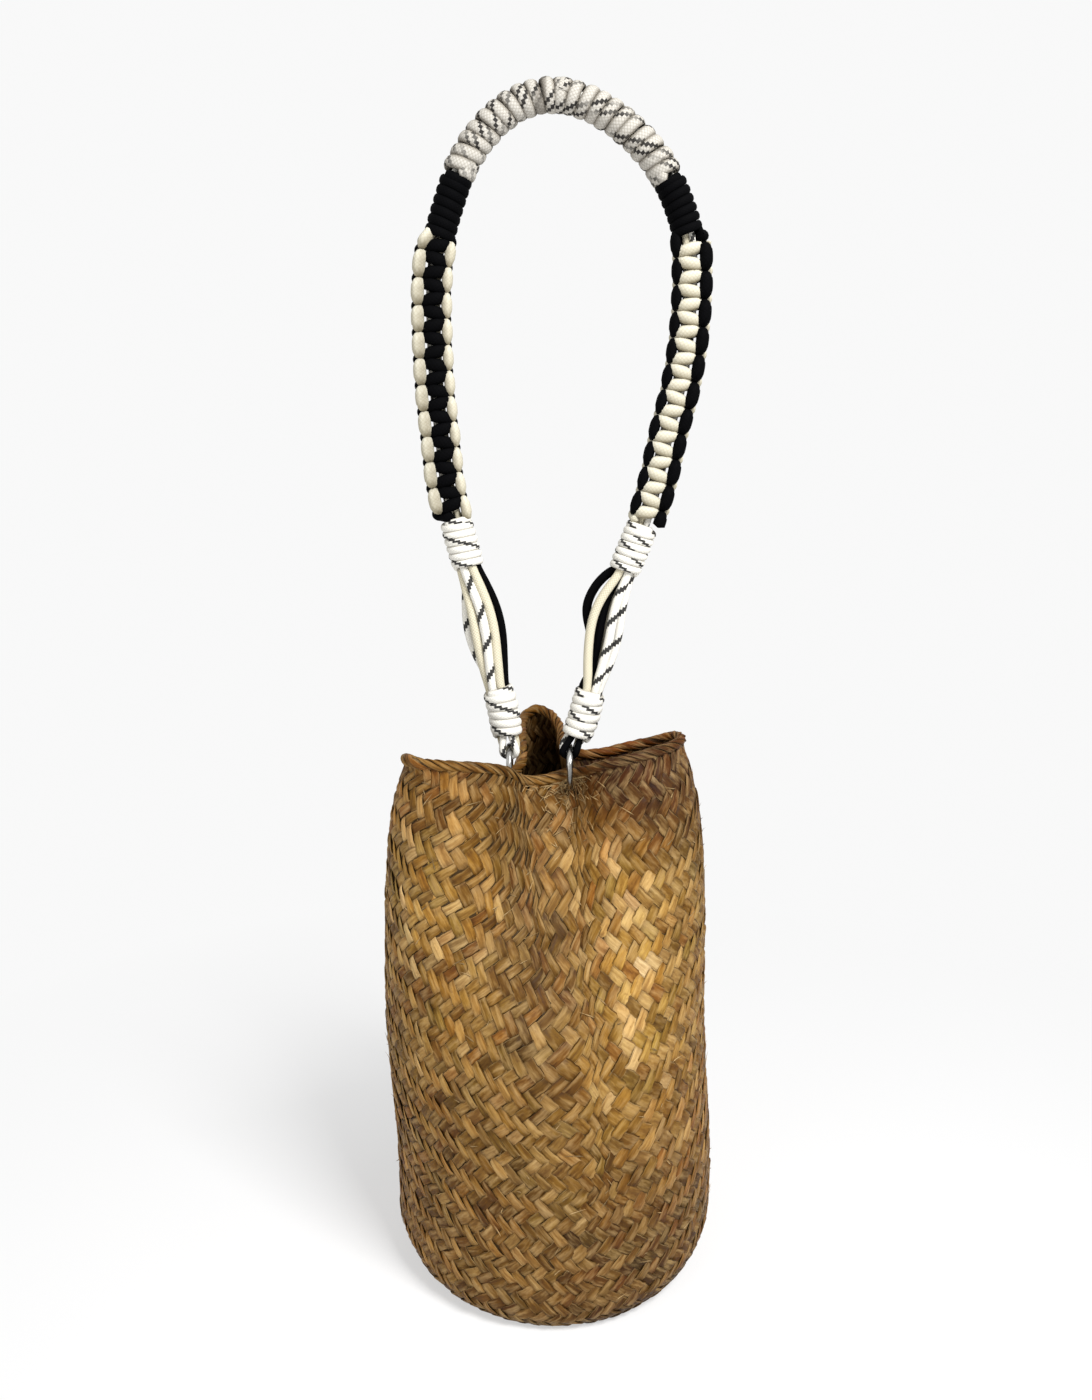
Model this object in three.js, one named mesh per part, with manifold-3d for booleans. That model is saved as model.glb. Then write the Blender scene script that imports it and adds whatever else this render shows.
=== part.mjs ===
// Straw bucket bag with a knotted cord strap. Millimetres, +Z up.
// The origin is the centre of the base's underside, X runs to the right, Y runs to the back.
import * as THREE from 'three';
import { mergeVertices } from 'three/addons/utils/BufferGeometryUtils.js';
import Module from 'manifold-3d';

const wasm = await Module();
wasm.setup();

const clearance = 0.3;

// Woven body
const bodyRadius = 72.5;
const wallThick = 2.8;
const frontCorner = 9;
const sideCorner = 24;
const bodyColumns = 64;
const baseRingRadius = 34;
const cornerSteps = 3;
const innerCornerSteps = 2;
const rowHeights = [36, 64, 90, 112, 130, 147, 163, 178, 192, 205, 215];
const leanAside = -4.5;
const leanFrom = 40;
const leanTo = 125;
const foldStart = 98;
const lobePower = 6;
const shallowPull = 10;
const deepPull = 40;

// Plaited rim
const rimHeight = 243.5;
const rimWide = 5.6;
const rimTall = 5.4;
const rimSides = 8;

// Rings in the two folds of the mouth
const ringRadius = 9.2;
const ringWire = 2.6;
const leftRingX = -19.5;
const rightRingX = 6.2;
const ringAxisY = -6.5;
const ringFoldDrop = 14;
const holeClearance = 0.7;
const holeBelowWallTop = 3.5;

// Which part of the round body each part of the mouth rises from
const footStart = THREE.MathUtils.degToRad(282);
const footSwing = THREE.MathUtils.degToRad(9);
const footSwingAt = 0.3;

// Mouth outline, anticlockwise seen from above: x, y and drop below the rim's highest line
const mouthPoints = [
  [rightRingX, ringAxisY, ringFoldDrop],
  [12, -11.5, 12],
  [19.5, -19.5, 7.5],
  [31, -23, 3.5],
  [42, -19, 1.5],
  [51, -11, 0.5],
  [54.9, -2, 0],
  [52, 7, 1],
  [43, 11.5, 4.5],
  [31, 14.5, 8],
  [19, 13, 10.5],
  [9, 13.5, 10.5],
  [4, 22, 9],
  [3.6, 36, 7],
  [1.8, 50, 5],
  [-2, 59.5, 3],
  [-8, 63.5, 1.5],
  [-13.6, 57.5, 3],
  [-15.4, 46, 4.5],
  [-15.2, 30, 6],
  [-14.8, 14, 8.5],
  [-15, 2, 12],
  [leftRingX, ringAxisY, ringFoldDrop],
  [-30, -7, 13.5],
  [-43, -11, 11.5],
  [-55, -17, 7.5],
  [-62.2, -24.5, 2.8],
  [-58, -35, 2],
  [-46, -41, 1.5],
  [-35, -39.5, 2.5],
  [-26, -33, 5],
  [-19.5, -24, 9],
  [-12.5, -15.5, 15],
  [-3.5, -11, 15.5],
];

// Strap route between the rings: x and height above the ring axis
const routePoints = [
  [-20.3, 13],
  [-22, 24.5],
  [-24.6, 35],
  [-28, 49],
  [-32, 70],
  [-36.2, 86.5],
  [-41.3, 105.5],
  [-44.5, 120],
  [-46.4, 139],
  [-48.2, 158.5],
  [-49, 181],
  [-48.7, 200],
  [-46.8, 214],
  [-42.3, 229.5],
  [-36, 245.2],
  [-26.6, 257.6],
  [-15.7, 265.9],
  [-4, 269.3],
  [8, 268],
  [19.7, 262.9],
  [30.6, 254.9],
  [40.7, 244],
  [48, 230.5],
  [52.5, 216.5],
  [53.6, 200],
  [52.8, 180],
  [50, 160],
  [45.4, 141],
  [41.2, 121],
  [35.5, 102],
  [28.5, 84.5],
  [22.2, 69.5],
  [18.8, 52],
  [15.2, 34.5],
  [12, 21.5],
  [8.6, 13],
];

// Cords
const cordWide = 2.8;
const cordSides = 6;
const coreSteps = 66;
const strandSteps = 14;
const bightSteps = 14;
const coreCircle = 2.35;
const bundleCircle = 3.2;

// Lengths along the strap, from each ring
const ringToWhipping = 4.6;
const lowerWhippingLength = 22;
const looseLength = 52;
const upperWhippingLength = 21.5;
const gatherLength = 9;
const leftBraidLength = 112;
const rightBraidLength = 115;
const blackWrapLength = 22;

// Wound cords: loops, width along the strap and thickness
const loopSteps = 10;
const loopSides = 5;
const lowerTurns = 5.5;
const lowerCordWide = 2.6;
const upperTurns = 6.5;
const upperCordWide = 2.35;
const whippingCordThick = 2;
const blackTurns = 6;
const blackCordWide = 2.3;
const blackCordThick = 1.9;
const topTurns = 21;
const topCordWide = 3.3;
const topCordThick = 2.7;

// Square-knot braids
const braidHalfWide = 8.1;
const braidLoopProud = 0.8;
const braidCover = 2;
const braidShoulder = 2.4;
const knotLength = 10.5;
const knotStations = 3;

const colours = { straw: 0xb08a4c, rim: 0x8f6a36, cream: 0xe9e0cc, white: 0xeeeeec, black: 0x17171a, steel: 0xb9bcc0 };
const group = new THREE.Group();

function material(colour, roughness, metalness = 0) {
  return new THREE.MeshStandardMaterial({ color: colour, roughness, metalness });
}

function addPart(name, geometry, colour, roughness, metalness) {
  const mesh = new THREE.Mesh(geometry, material(colour, roughness, metalness));
  mesh.name = name;
  group.add(mesh);
}

// A closed body from points and triangles, turned so that its faces point out
function closedBody(points, triangles) {
  let volume = 0;
  const cross = new THREE.Vector3();
  for (const [a, b, c] of triangles) {
    volume += points[a].dot(cross.crossVectors(points[b], points[c]));
  }
  const index = triangles.flatMap(([a, b, c]) => (volume > 0 ? [a, b, c] : [a, c, b]));
  const geometry = new THREE.BufferGeometry();
  geometry.setAttribute('position', new THREE.Float32BufferAttribute(points.flatMap((p) => p.toArray()), 3));
  geometry.setIndex(index);
  return geometry;
}

// Triangles between one closed ring of points and the next
function bandBetween(first, second, count) {
  const triangles = [];
  for (let i = 0; i < count; i += 1) {
    const j = (i + 1) % count;
    triangles.push([first + i, first + j, second + j], [first + i, second + j, second + i]);
  }
  return triangles;
}

// A solid through a row of sections that share one outline for their end faces
function loft(sections, outline) {
  const count = outline.length;
  const points = sections.flat();
  const triangles = [];
  for (let k = 0; k + 1 < sections.length; k += 1) {
    triangles.push(...bandBetween(k * count, (k + 1) * count, count));
  }
  const last = (sections.length - 1) * count;
  for (const [a, b, c] of THREE.ShapeUtils.triangulateShape(outline, [])) {
    triangles.push([a, c, b], [last + a, last + b, last + c]);
  }
  return closedBody(points, triangles);
}

function weld(geometry) {
  geometry.deleteAttribute('normal');
  geometry.deleteAttribute('uv');
  return mergeVertices(geometry, 1e-4);
}

function toSolid(geometry) {
  const vertProperties = new Float32Array(geometry.attributes.position.array);
  const triVerts = new Uint32Array(geometry.index.array);
  return new wasm.Manifold(new wasm.Mesh({ numProp: 3, vertProperties, triVerts }));
}

function fromSolid(solid) {
  const mesh = solid.getMesh();
  const geometry = new THREE.BufferGeometry();
  geometry.setAttribute('position', new THREE.Float32BufferAttribute(mesh.vertProperties, 3));
  geometry.setIndex([...mesh.triVerts]);
  return geometry;
}

// Mouth and wall
const mouthLine = new THREE.CatmullRomCurve3(
  mouthPoints.map(([x, y, drop]) => new THREE.Vector3(x, y, rimHeight - drop)), true, 'centripetal');

function smooth(from, to, value) {
  const t = THREE.MathUtils.clamp((value - from) / (to - from), 0, 1);
  return t * t * (3 - 2 * t);
}

// Angle on the round body below a share of the way round the mouth
function footAngle(share) {
  return footStart + 2 * Math.PI * share + footSwing * Math.cos(2 * Math.PI * (share - footSwingAt));
}

// Direction out of the wall, level, at a share of the way round the mouth
function mouthOutward(share) {
  const tangent = mouthLine.getTangentAt(share);
  return new THREE.Vector3(tangent.y, -tangent.x, 0).normalize();
}

// A point on the outer wall: a share of the way round, and a share of the way up to the rim
function wallPoint(share, rise) {
  const mouth = mouthLine.getPointAt(share);
  const wallTop = mouth.z - rimTall - clearance;
  const angle = footAngle(share);
  const z = rise * wallTop;
  const lean = leanAside * smooth(leanFrom, leanTo, z);
  const round = new THREE.Vector3(lean + bodyRadius * Math.cos(angle), bodyRadius * Math.sin(angle), z);
  const outward = mouthOutward(share).multiplyScalar(wallThick / 2);
  const folded = new THREE.Vector3(mouth.x + outward.x, mouth.y + outward.y, z);
  const pull = Math.hypot(round.x - folded.x, round.y - folded.y);
  const climb = THREE.MathUtils.clamp((z - foldStart) / (wallTop - foldStart), 0, 1);
  const asFold = smooth(shallowPull, deepPull, pull);
  const weight = asFold * smooth(0, 1, climb) + (1 - asFold) * climb ** lobePower;
  return round.lerp(folded, weight);
}

// One level ring of wall points, and the same ring moved in by the wall's thickness
function wallRing(rise) {
  return Array.from({ length: bodyColumns }, (_, i) => wallPoint(i / bodyColumns, rise));
}

function insetRing(ring) {
  return ring.map((point, i) => {
    const before = ring[(i + bodyColumns - 1) % bodyColumns];
    const after = ring[(i + 1) % bodyColumns];
    const inward = new THREE.Vector3(before.y - after.y, after.x - before.x, 0).normalize();
    return point.clone().addScaledVector(inward, wallThick);
  });
}

function flatRing(radius, z) {
  return Array.from({ length: bodyColumns }, (_, i) => {
    const angle = footAngle(i / bodyColumns);
    return new THREE.Vector3(radius * Math.cos(angle), radius * Math.sin(angle), z);
  });
}

// A ring on the corner between base and wall, set in by a depth; turn is 0 at the base.
// The corner is tighter at the front and back than at the sides.
function cornerRing(turn, depth) {
  return Array.from({ length: bodyColumns }, (_, i) => {
    const angle = footAngle(i / bodyColumns);
    const corner = frontCorner + (sideCorner - frontCorner) * Math.cos(angle) ** 2;
    const radius = bodyRadius - corner + (corner - depth) * Math.sin(turn);
    const z = corner - (corner - depth) * Math.cos(turn);
    return new THREE.Vector3(radius * Math.cos(angle), radius * Math.sin(angle), z);
  });
}

function cornerRings(steps, depth) {
  return Array.from({ length: steps + 1 }, (_, k) => cornerRing(0.5 * Math.PI * k / steps, depth));
}

function wovenBody() {
  const highest = rimHeight - rimTall - clearance;
  const wallRings = [...rowHeights.map((z) => wallRing(z / highest)), wallRing(1)];
  const rings = [
    flatRing(baseRingRadius, 0), ...cornerRings(cornerSteps, 0), ...wallRings,
    ...wallRings.map(insetRing).reverse(), ...cornerRings(innerCornerSteps, wallThick).reverse(),
    flatRing(baseRingRadius, wallThick),
  ];
  const points = [new THREE.Vector3(0, 0, 0), ...rings.flat(), new THREE.Vector3(0, 0, wallThick)];
  const triangles = [];
  const lastRing = 1 + (rings.length - 1) * bodyColumns;
  for (let i = 0; i < bodyColumns; i += 1) {
    const j = (i + 1) % bodyColumns;
    triangles.push([0, 1 + j, 1 + i], [points.length - 1, lastRing + i, lastRing + j]);
  }
  for (let k = 0; k + 1 < rings.length; k += 1) {
    triangles.push(...bandBetween(1 + k * bodyColumns, 1 + (k + 1) * bodyColumns, bodyColumns));
  }
  let solid = toSolid(closedBody(points, triangles));
  for (const x of [leftRingX, rightRingX]) {
    solid = solid.subtract(toSolid(ringHole(x)));
  }
  return fromSolid(solid);
}

const wallTopAtRing = rimHeight - ringFoldDrop - rimTall - clearance;
const ringAxisZ = wallTopAtRing - holeBelowWallTop + ringRadius;

// The hole that a ring passes through follows the ring's own round path
function ringHole(x) {
  return ringBody(x, ringWire / 2 + holeClearance);
}

function plaitedRim() {
  const points = [];
  const triangles = [];
  for (let i = 0; i < bodyColumns; i += 1) {
    const share = i / bodyColumns;
    const centre = mouthLine.getPointAt(share);
    centre.z -= rimTall / 2;
    const outward = mouthOutward(share);
    for (let k = 0; k < rimSides; k += 1) {
      const angle = 2 * Math.PI * (k + 0.5) / rimSides;
      const point = centre.clone().addScaledVector(outward, rimWide / 2 * Math.cos(angle));
      point.z += rimTall / 2 * Math.sin(angle);
      points.push(point);
    }
    const next = ((i + 1) % bodyColumns) * rimSides;
    triangles.push(...bandBetween(i * rimSides, next, rimSides));
  }
  return closedBody(points, triangles);
}

function ringBody(x, wireRadius) {
  const ring = new THREE.TorusGeometry(ringRadius, wireRadius, 8, 24);
  ring.rotateY(Math.PI / 2);
  ring.translate(x, ringAxisY, ringAxisZ);
  return weld(ring);
}

// Strap line from the top of the left ring to the top of the right ring
const strapPoints = [[leftRingX, ringRadius], ...routePoints, [rightRingX, ringRadius]];
const strapLine = new THREE.CatmullRomCurve3(
  strapPoints.map(([x, height]) => new THREE.Vector3(x, ringAxisY, ringAxisZ + height)), false, 'centripetal');
strapLine.arcLengthDivisions = 1600;
const strapLength = strapLine.getLength();
const towardViewer = new THREE.Vector3(0, -1, 0);

// A point beside the strap line: out from the loop it makes, and towards the viewer
function beside(along, out, near) {
  const share = along / strapLength;
  const point = strapLine.getPointAt(share);
  const outward = new THREE.Vector3().crossVectors(towardViewer, strapLine.getTangentAt(share)).normalize();
  return point.addScaledVector(outward, out).addScaledVector(towardViewer, near);
}

// Stretches of the strap, each as its start and length
const leftLower = { start: ringToWhipping, length: lowerWhippingLength };
const leftUpper = { start: leftLower.start + lowerWhippingLength + looseLength, length: upperWhippingLength };
const leftBraid = { start: leftUpper.start + upperWhippingLength + clearance, length: leftBraidLength };
const leftBlack = { start: leftBraid.start + leftBraidLength + clearance, length: blackWrapLength };
const rightLower = { start: strapLength - ringToWhipping - lowerWhippingLength, length: lowerWhippingLength };
const rightUpper = { start: rightLower.start - looseLength - upperWhippingLength, length: upperWhippingLength };
const rightBraid = { start: rightUpper.start - clearance - rightBraidLength, length: rightBraidLength };
const rightBlack = { start: rightBraid.start - clearance - blackWrapLength, length: blackWrapLength };
const topStart = leftBlack.start + blackWrapLength + clearance;
const topStretch = { start: topStart, length: rightBlack.start - clearance - topStart };

// Least distance between loops of a wound tube, on the points of its sections
function leastGap(sections) {
  let least = Infinity;
  const apart = Math.ceil(loopSteps / 2);
  for (let i = 0; i < sections.length; i += 1) {
    for (let j = i + apart; j < Math.min(sections.length, i + 2 * loopSteps); j += 1) {
      for (const a of sections[i]) {
        for (const b of sections[j]) least = Math.min(least, a.distanceTo(b));
      }
    }
  }
  return least;
}

// One unbroken tube wound round the strap, with a straight end on each side
function winding(name, stretch, turns, inside, wide, thick, colour, roughness) {
  const radius = inside + thick / 2;
  const pitch = (stretch.length - wide) / turns;
  const steps = Math.round(turns * loopSteps);
  const centres = [];
  const outwards = [];
  for (let i = 0; i <= steps; i += 1) {
    const angle = 2 * Math.PI * i / loopSteps;
    const along = stretch.start + wide / 2 + pitch * i / loopSteps;
    const centre = beside(along, radius * Math.cos(angle), radius * Math.sin(angle));
    centres.push(centre);
    outwards.push(centre.clone().sub(beside(along, 0, 0)).normalize());
  }
  const sections = centres.map((centre, i) => {
    const before = centres[Math.max(0, i - 1)];
    const after = centres[Math.min(steps, i + 1)];
    return tubeSection(centre, after.clone().sub(before).normalize(), outwards[i], wide, thick);
  });
  const firstWay = centres[0].clone().sub(centres[1]).setLength(wide);
  const lastWay = centres[steps].clone().sub(centres[steps - 1]).setLength(wide);
  sections.unshift(sections[0].map((p) => p.clone().add(firstWay)));
  sections.push(sections[sections.length - 1].map((p) => p.clone().add(lastWay)));
  console.log(`${name}: least gap of the tube to itself ${leastGap(sections).toFixed(2)} mm`);
  const outline = sectionAngles(loopSides).map((a) => new THREE.Vector2(Math.cos(a), Math.sin(a)));
  addPart(name, loft(sections, outline), colour, roughness);
}

function sectionAngles(sides) {
  return Array.from({ length: sides }, (_, k) => 2 * Math.PI * k / sides);
}

function tubeSection(centre, forward, outward, wide, thick) {
  const across = new THREE.Vector3().crossVectors(forward, outward).normalize();
  return sectionAngles(loopSides).map((angle) => centre.clone()
    .addScaledVector(outward, thick / 2 * Math.cos(angle))
    .addScaledVector(across, wide / 2 * Math.sin(angle)));
}

// Place of each of the six cords in a bundle: angle in the bundle and spread between the whippings
const bundle = {
  outer: { angle: 0, leftOut: 3.2, leftNear: 2.8, rightOut: 6.4, rightNear: -0.2 },
  nearOuter: { angle: 60, leftOut: -0.9, leftNear: 4, rightOut: 2.9, rightNear: 3 },
  nearInner: { angle: 120, leftOut: -4.6, leftNear: 3, rightOut: -4.2, rightNear: 3.4 },
  inner: { angle: 180, leftOut: -9, leftNear: 0, rightOut: -8.6, rightNear: -0.6 },
  farInner: { angle: 240, leftOut: -2.6, leftNear: -3.4, rightOut: -0.8, rightNear: 0 },
  farOuter: { angle: 300, leftOut: 6.2, leftNear: -1.8, rightOut: 3, rightNear: -3.6 },
};

// Offsets of a cord from the strap line at a place along it
function cordOffset(cord, along) {
  const angle = THREE.MathUtils.degToRad(cord.angle);
  const tied = [bundleCircle * Math.cos(angle), bundleCircle * Math.sin(angle)];
  const coreAngle = Math.PI / 4 + Math.PI / 2 * Math.floor(cord.angle / 90);
  const core = [coreCircle * Math.cos(coreAngle), coreCircle * Math.sin(coreAngle)];
  const intoCore = smooth(leftBraid.start - gatherLength, leftBraid.start, along)
    - smooth(rightUpper.start, rightUpper.start + gatherLength, along);
  const leftLoose = spreadAt(along, leftLower.start + lowerWhippingLength);
  const rightLoose = spreadAt(along, rightUpper.start + upperWhippingLength);
  const out = tied[0] + (core[0] - tied[0]) * intoCore
    + (cord.leftOut - tied[0]) * leftLoose + (cord.rightOut - tied[0]) * rightLoose;
  const near = tied[1] + (core[1] - tied[1]) * intoCore
    + (cord.leftNear - tied[1]) * leftLoose + (cord.rightNear - tied[1]) * rightLoose;
  return [out, near];
}

// How far the cords are spread, from 0 at the whippings to 1 half way between them
function spreadAt(along, looseStart) {
  const share = THREE.MathUtils.clamp((along - looseStart) / looseLength, 0, 1);
  return Math.sin(Math.PI * share) ** 1.4;
}

function cordAlong(name, cord, from, to, steps, colour) {
  const points = Array.from({ length: steps + 1 }, (_, i) => {
    const along = from + (to - from) * i / steps;
    return beside(along, ...cordOffset(cord, along));
  });
  addPart(name, cordThrough(points, steps), colour, 0.75);
}

// A round cord through points, with flat ends
function cordThrough(points, steps) {
  const corners = sectionAngles(cordSides).map((angle) => new THREE.Vector2(
    cordWide / 2 * Math.cos(angle), cordWide / 2 * Math.sin(angle)));
  const path = new THREE.CatmullRomCurve3(points, false, 'centripetal');
  return weld(new THREE.ExtrudeGeometry(new THREE.Shape(corners), { steps, extrudePath: path, bevelEnabled: false }));
}

// Three short bights hold each ring; their legs end inside the lower whipping
const bightLeg = 7;
const bightRadius = ringWire / 2 + cordWide / 2 + clearance;
const bightTilt = 2 * Math.asin((cordWide + clearance) / 2 / (ringRadius - bightRadius));
const cordEnd = ringToWhipping + bightLeg + clearance;

// A bight under the ring's wire: place is -1, 0 or 1 towards the viewer, way is 1 up the left side
function ringBight(place, ringX, ringAlong, way) {
  const tilt = place * bightTilt;
  const atRing = (aside, radius) => new THREE.Vector3(
    ringX + aside, ringAxisY - radius * Math.sin(tilt), ringAxisZ + radius * Math.cos(tilt));
  const legAngle = place === 0 ? 0 : Math.PI / 3;
  const legOut = bundleCircle * Math.cos(legAngle);
  const legNear = place * bundleCircle * Math.sin(legAngle);
  const leg = (side) => [bightLeg, bightLeg / 5].map((up) => (
    beside(ringAlong + way * (ringToWhipping + up), -side * way * legOut, legNear)));
  const under = [-1, -0.5, 0, 0.5, 1].map((turn) => atRing(
    bightRadius * Math.sin(Math.PI / 2 * turn), ringRadius - bightRadius * Math.cos(Math.PI / 2 * turn)));
  return cordThrough([...leg(-1), ...under, ...leg(1).reverse()], bightSteps);
}

// One half of a square-knot braid: the cord that lies towards one face, with its loops at the sides
function braidHalf(stretch, face) {
  const groove = coreCircle * Math.SQRT1_2 + cordWide / 2 + clearance;
  const split = clearance / 2;
  const count = Math.round(stretch.length / knotLength * knotStations);
  const sections = [];
  let outline = [];
  for (let i = 0; i <= count; i += 1) {
    const along = stretch.start + stretch.length * i / count;
    const proud = braidLoopProud * Math.sin(2 * Math.PI * (i / knotStations + (face > 0 ? 0 : 0.5)));
    const wide = braidHalfWide + proud;
    const half = [
      [wide, split], [wide, split + braidShoulder], [groove, groove + braidCover],
      [-groove, groove + braidCover], [-wide, split + braidShoulder], [-wide, split],
      [-groove, split], [-groove, groove], [groove, groove], [groove, split],
    ];
    outline = half.map(([out, near]) => new THREE.Vector2(out, near));
    sections.push(half.map(([out, near]) => beside(along, out, face * near)));
  }
  return loft(sections, outline);
}

// Basket and hardware
addPart('woven_body', wovenBody(), colours.straw, 0.85);
addPart('plaited_rim', plaitedRim(), colours.rim, 0.85);
addPart('left_ring', ringBody(leftRingX, ringWire / 2), colours.steel, 0.3, 1);
addPart('right_ring', ringBody(rightRingX, ringWire / 2), colours.steel, 0.3, 1);

// Wound cords
const bundleInside = bundleCircle + cordWide / 2 + clearance;
const coreInside = coreCircle + cordWide / 2 + clearance;
winding('top_wrap', topStretch, topTurns, coreInside, topCordWide, topCordThick, colours.white, 0.7);
for (const [name, stretch] of [['left_black_wrap', leftBlack], ['right_black_wrap', rightBlack]]) {
  winding(name, stretch, blackTurns, coreInside, blackCordWide, blackCordThick, colours.black, 0.8);
}
for (const [name, stretch] of [['left_upper_whipping', leftUpper], ['right_upper_whipping', rightUpper]]) {
  winding(name, stretch, upperTurns, bundleInside, upperCordWide, whippingCordThick, colours.white, 0.7);
}
for (const [name, stretch] of [['left_lower_whipping', leftLower], ['right_lower_whipping', rightLower]]) {
  winding(name, stretch, lowerTurns, bundleInside, lowerCordWide, whippingCordThick, colours.white, 0.7);
}

// Braids: the black cord lies to the front on the left side, the cream cord on the right side
addPart('left_braid_black', braidHalf(leftBraid, 1), colours.black, 0.8);
addPart('left_braid_cream', braidHalf(leftBraid, -1), colours.cream, 0.75);
addPart('right_braid_cream', braidHalf(rightBraid, 1), colours.cream, 0.75);
addPart('right_braid_black', braidHalf(rightBraid, -1), colours.black, 0.8);

// Core cords from ring to ring
const coreTo = strapLength - cordEnd;
cordAlong('core_cord_flecked_1', bundle.farOuter, cordEnd, coreTo, coreSteps, colours.white);
cordAlong('core_cord_flecked_2', bundle.nearOuter, cordEnd, coreTo, coreSteps, colours.white);
cordAlong('core_cord_cream', bundle.nearInner, cordEnd, coreTo, coreSteps, colours.cream);
cordAlong('core_cord_black', bundle.farInner, cordEnd, coreTo, coreSteps, colours.black);

// Working cords from the rings up to the braids
const leftWorkEnd = leftBraid.start - gatherLength - clearance;
const rightWorkStart = rightUpper.start + gatherLength + clearance;
cordAlong('left_strand_cream', bundle.outer, cordEnd, leftWorkEnd, strandSteps, colours.cream);
cordAlong('left_strand_black', bundle.inner, cordEnd, leftWorkEnd, strandSteps, colours.black);
cordAlong('right_strand_cream', bundle.outer, rightWorkStart, coreTo, strandSteps, colours.cream);
cordAlong('right_strand_black', bundle.inner, rightWorkStart, coreTo, strandSteps, colours.black);

// Bights round the rings
for (const [side, ringX, along, way] of [['left', leftRingX, 0, 1], ['right', rightRingX, strapLength, -1]]) {
  const order = way > 0 ? { flecked: 1, cream: 0, black: -1 } : { flecked: 0, cream: -1, black: 1 };
  for (const [kind, colour] of [['flecked', colours.white], ['cream', colours.cream], ['black', colours.black]]) {
    addPart(`${side}_bight_${kind}`, ringBight(order[kind], ringX, along, way), colour, 0.75);
  }
}

export default group;
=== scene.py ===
import math

import bpy
import numpy as np
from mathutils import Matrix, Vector

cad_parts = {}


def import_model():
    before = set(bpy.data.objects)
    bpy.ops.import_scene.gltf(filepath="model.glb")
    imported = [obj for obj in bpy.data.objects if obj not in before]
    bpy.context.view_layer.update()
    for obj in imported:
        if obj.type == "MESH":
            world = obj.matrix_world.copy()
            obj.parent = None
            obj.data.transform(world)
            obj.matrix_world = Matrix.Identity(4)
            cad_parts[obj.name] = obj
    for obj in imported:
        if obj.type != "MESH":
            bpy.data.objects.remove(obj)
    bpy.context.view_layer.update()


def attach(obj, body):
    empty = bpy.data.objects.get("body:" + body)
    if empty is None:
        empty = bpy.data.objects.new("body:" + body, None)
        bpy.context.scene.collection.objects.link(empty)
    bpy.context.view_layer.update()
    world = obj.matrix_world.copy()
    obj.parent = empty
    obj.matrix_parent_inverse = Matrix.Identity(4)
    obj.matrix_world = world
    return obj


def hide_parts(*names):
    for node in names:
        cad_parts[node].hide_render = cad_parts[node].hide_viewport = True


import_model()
scene = bpy.context.scene

# Sizes are in millimetres, and meshes, the camera and the lamps in metres
MM = 0.001
rng = np.random.default_rng(7)

# Basket body, the same values as the CAD source
BODY_RADIUS = 72.5
WALL_THICK = 2.8
FRONT_CORNER = 9.0
SIDE_CORNER = 24.0
LEAN_ASIDE = -4.5
LEAN_HEIGHTS = (40.0, 125.0)
FOLD_START = 98.0
LOBE_POWER = 6.0
FOLD_PULLS = (10.0, 40.0)
RIM_HEIGHT = 243.5
RIM_TALL = 5.4
CLEARANCE = 0.3
FOOT_START = math.radians(282)
FOOT_SWING = math.radians(9)
FOOT_SWING_AT = 0.3
LEFT_RING_X = -19.5
RIGHT_RING_X = 6.2
RING_AXIS_Y = -6.5
RING_AXIS_Z = 229.5
RING_RADIUS = 9.2
RING_WIRE = 2.6
MOUTH = [
    (6.2, -6.5, 14), (12, -11.5, 12), (19.5, -19.5, 7.5), (31, -23, 3.5), (42, -19, 1.5), (51, -11, 0.5),
    (54.9, -2, 0), (52, 7, 1), (43, 11.5, 4.5), (31, 14.5, 8), (19, 13, 10.5), (9, 13.5, 10.5), (4, 22, 9),
    (3.6, 36, 7), (1.8, 50, 5), (-2, 59.5, 3), (-8, 63.5, 1.5), (-13.6, 57.5, 3), (-15.4, 46, 4.5),
    (-15.2, 30, 6), (-14.8, 14, 8.5), (-15, 2, 12), (-19.5, -6.5, 14), (-30, -7, 13.5), (-43, -11, 11.5),
    (-55, -17, 7.5), (-62.2, -24.5, 2.8), (-58, -35, 2), (-46, -41, 1.5), (-35, -39.5, 2.5), (-26, -33, 5),
    (-19.5, -24, 9), (-12.5, -15.5, 15), (-3.5, -11, 15.5),
]

# The fold's soft crease down the front below the mouth
CREASE_X = 9.0
CREASE_SLANT = -0.1
CREASE_HALF = 15.0
CREASE_DEPTH = 7.0
CREASE_FROM = 45.0
CREASE_MIDDLE = 125.0
CREASE_TO = 215.0

# Strap route from the left ring to the right ring: x and height above the ring axis
ROUTE = [
    (LEFT_RING_X, RING_RADIUS), (-20.3, 13), (-22, 24.5), (-24.6, 35), (-28, 49), (-32, 70), (-36.2, 86.5),
    (-41.3, 105.5), (-44.5, 120), (-46.4, 139), (-48.2, 158.5), (-49, 181), (-48.7, 200), (-46.8, 214),
    (-42.3, 229.5), (-36, 245.2), (-26.6, 257.6), (-15.7, 265.9), (-4, 269.3), (8, 268), (19.7, 262.9),
    (30.6, 254.9), (40.7, 244), (48, 230.5), (52.5, 216.5), (53.6, 200), (52.8, 180), (50, 160),
    (45.4, 141), (41.2, 121), (35.5, 102), (28.5, 84.5), (22.2, 69.5), (18.8, 52), (15.2, 34.5),
    (12, 21.5), (8.6, 13), (RIGHT_RING_X, RING_RADIUS),
]

# Straw strips: number each way, length round the wall, a strip's cell of it, size, and points a cell
STRIPS = 88
WEAVE_REACH = 455.0
CELL = WEAVE_REACH / STRIPS
STRIP_THICK = 0.55
STRIP_WIDTH = 5.3
PER_CELL = 3
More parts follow.
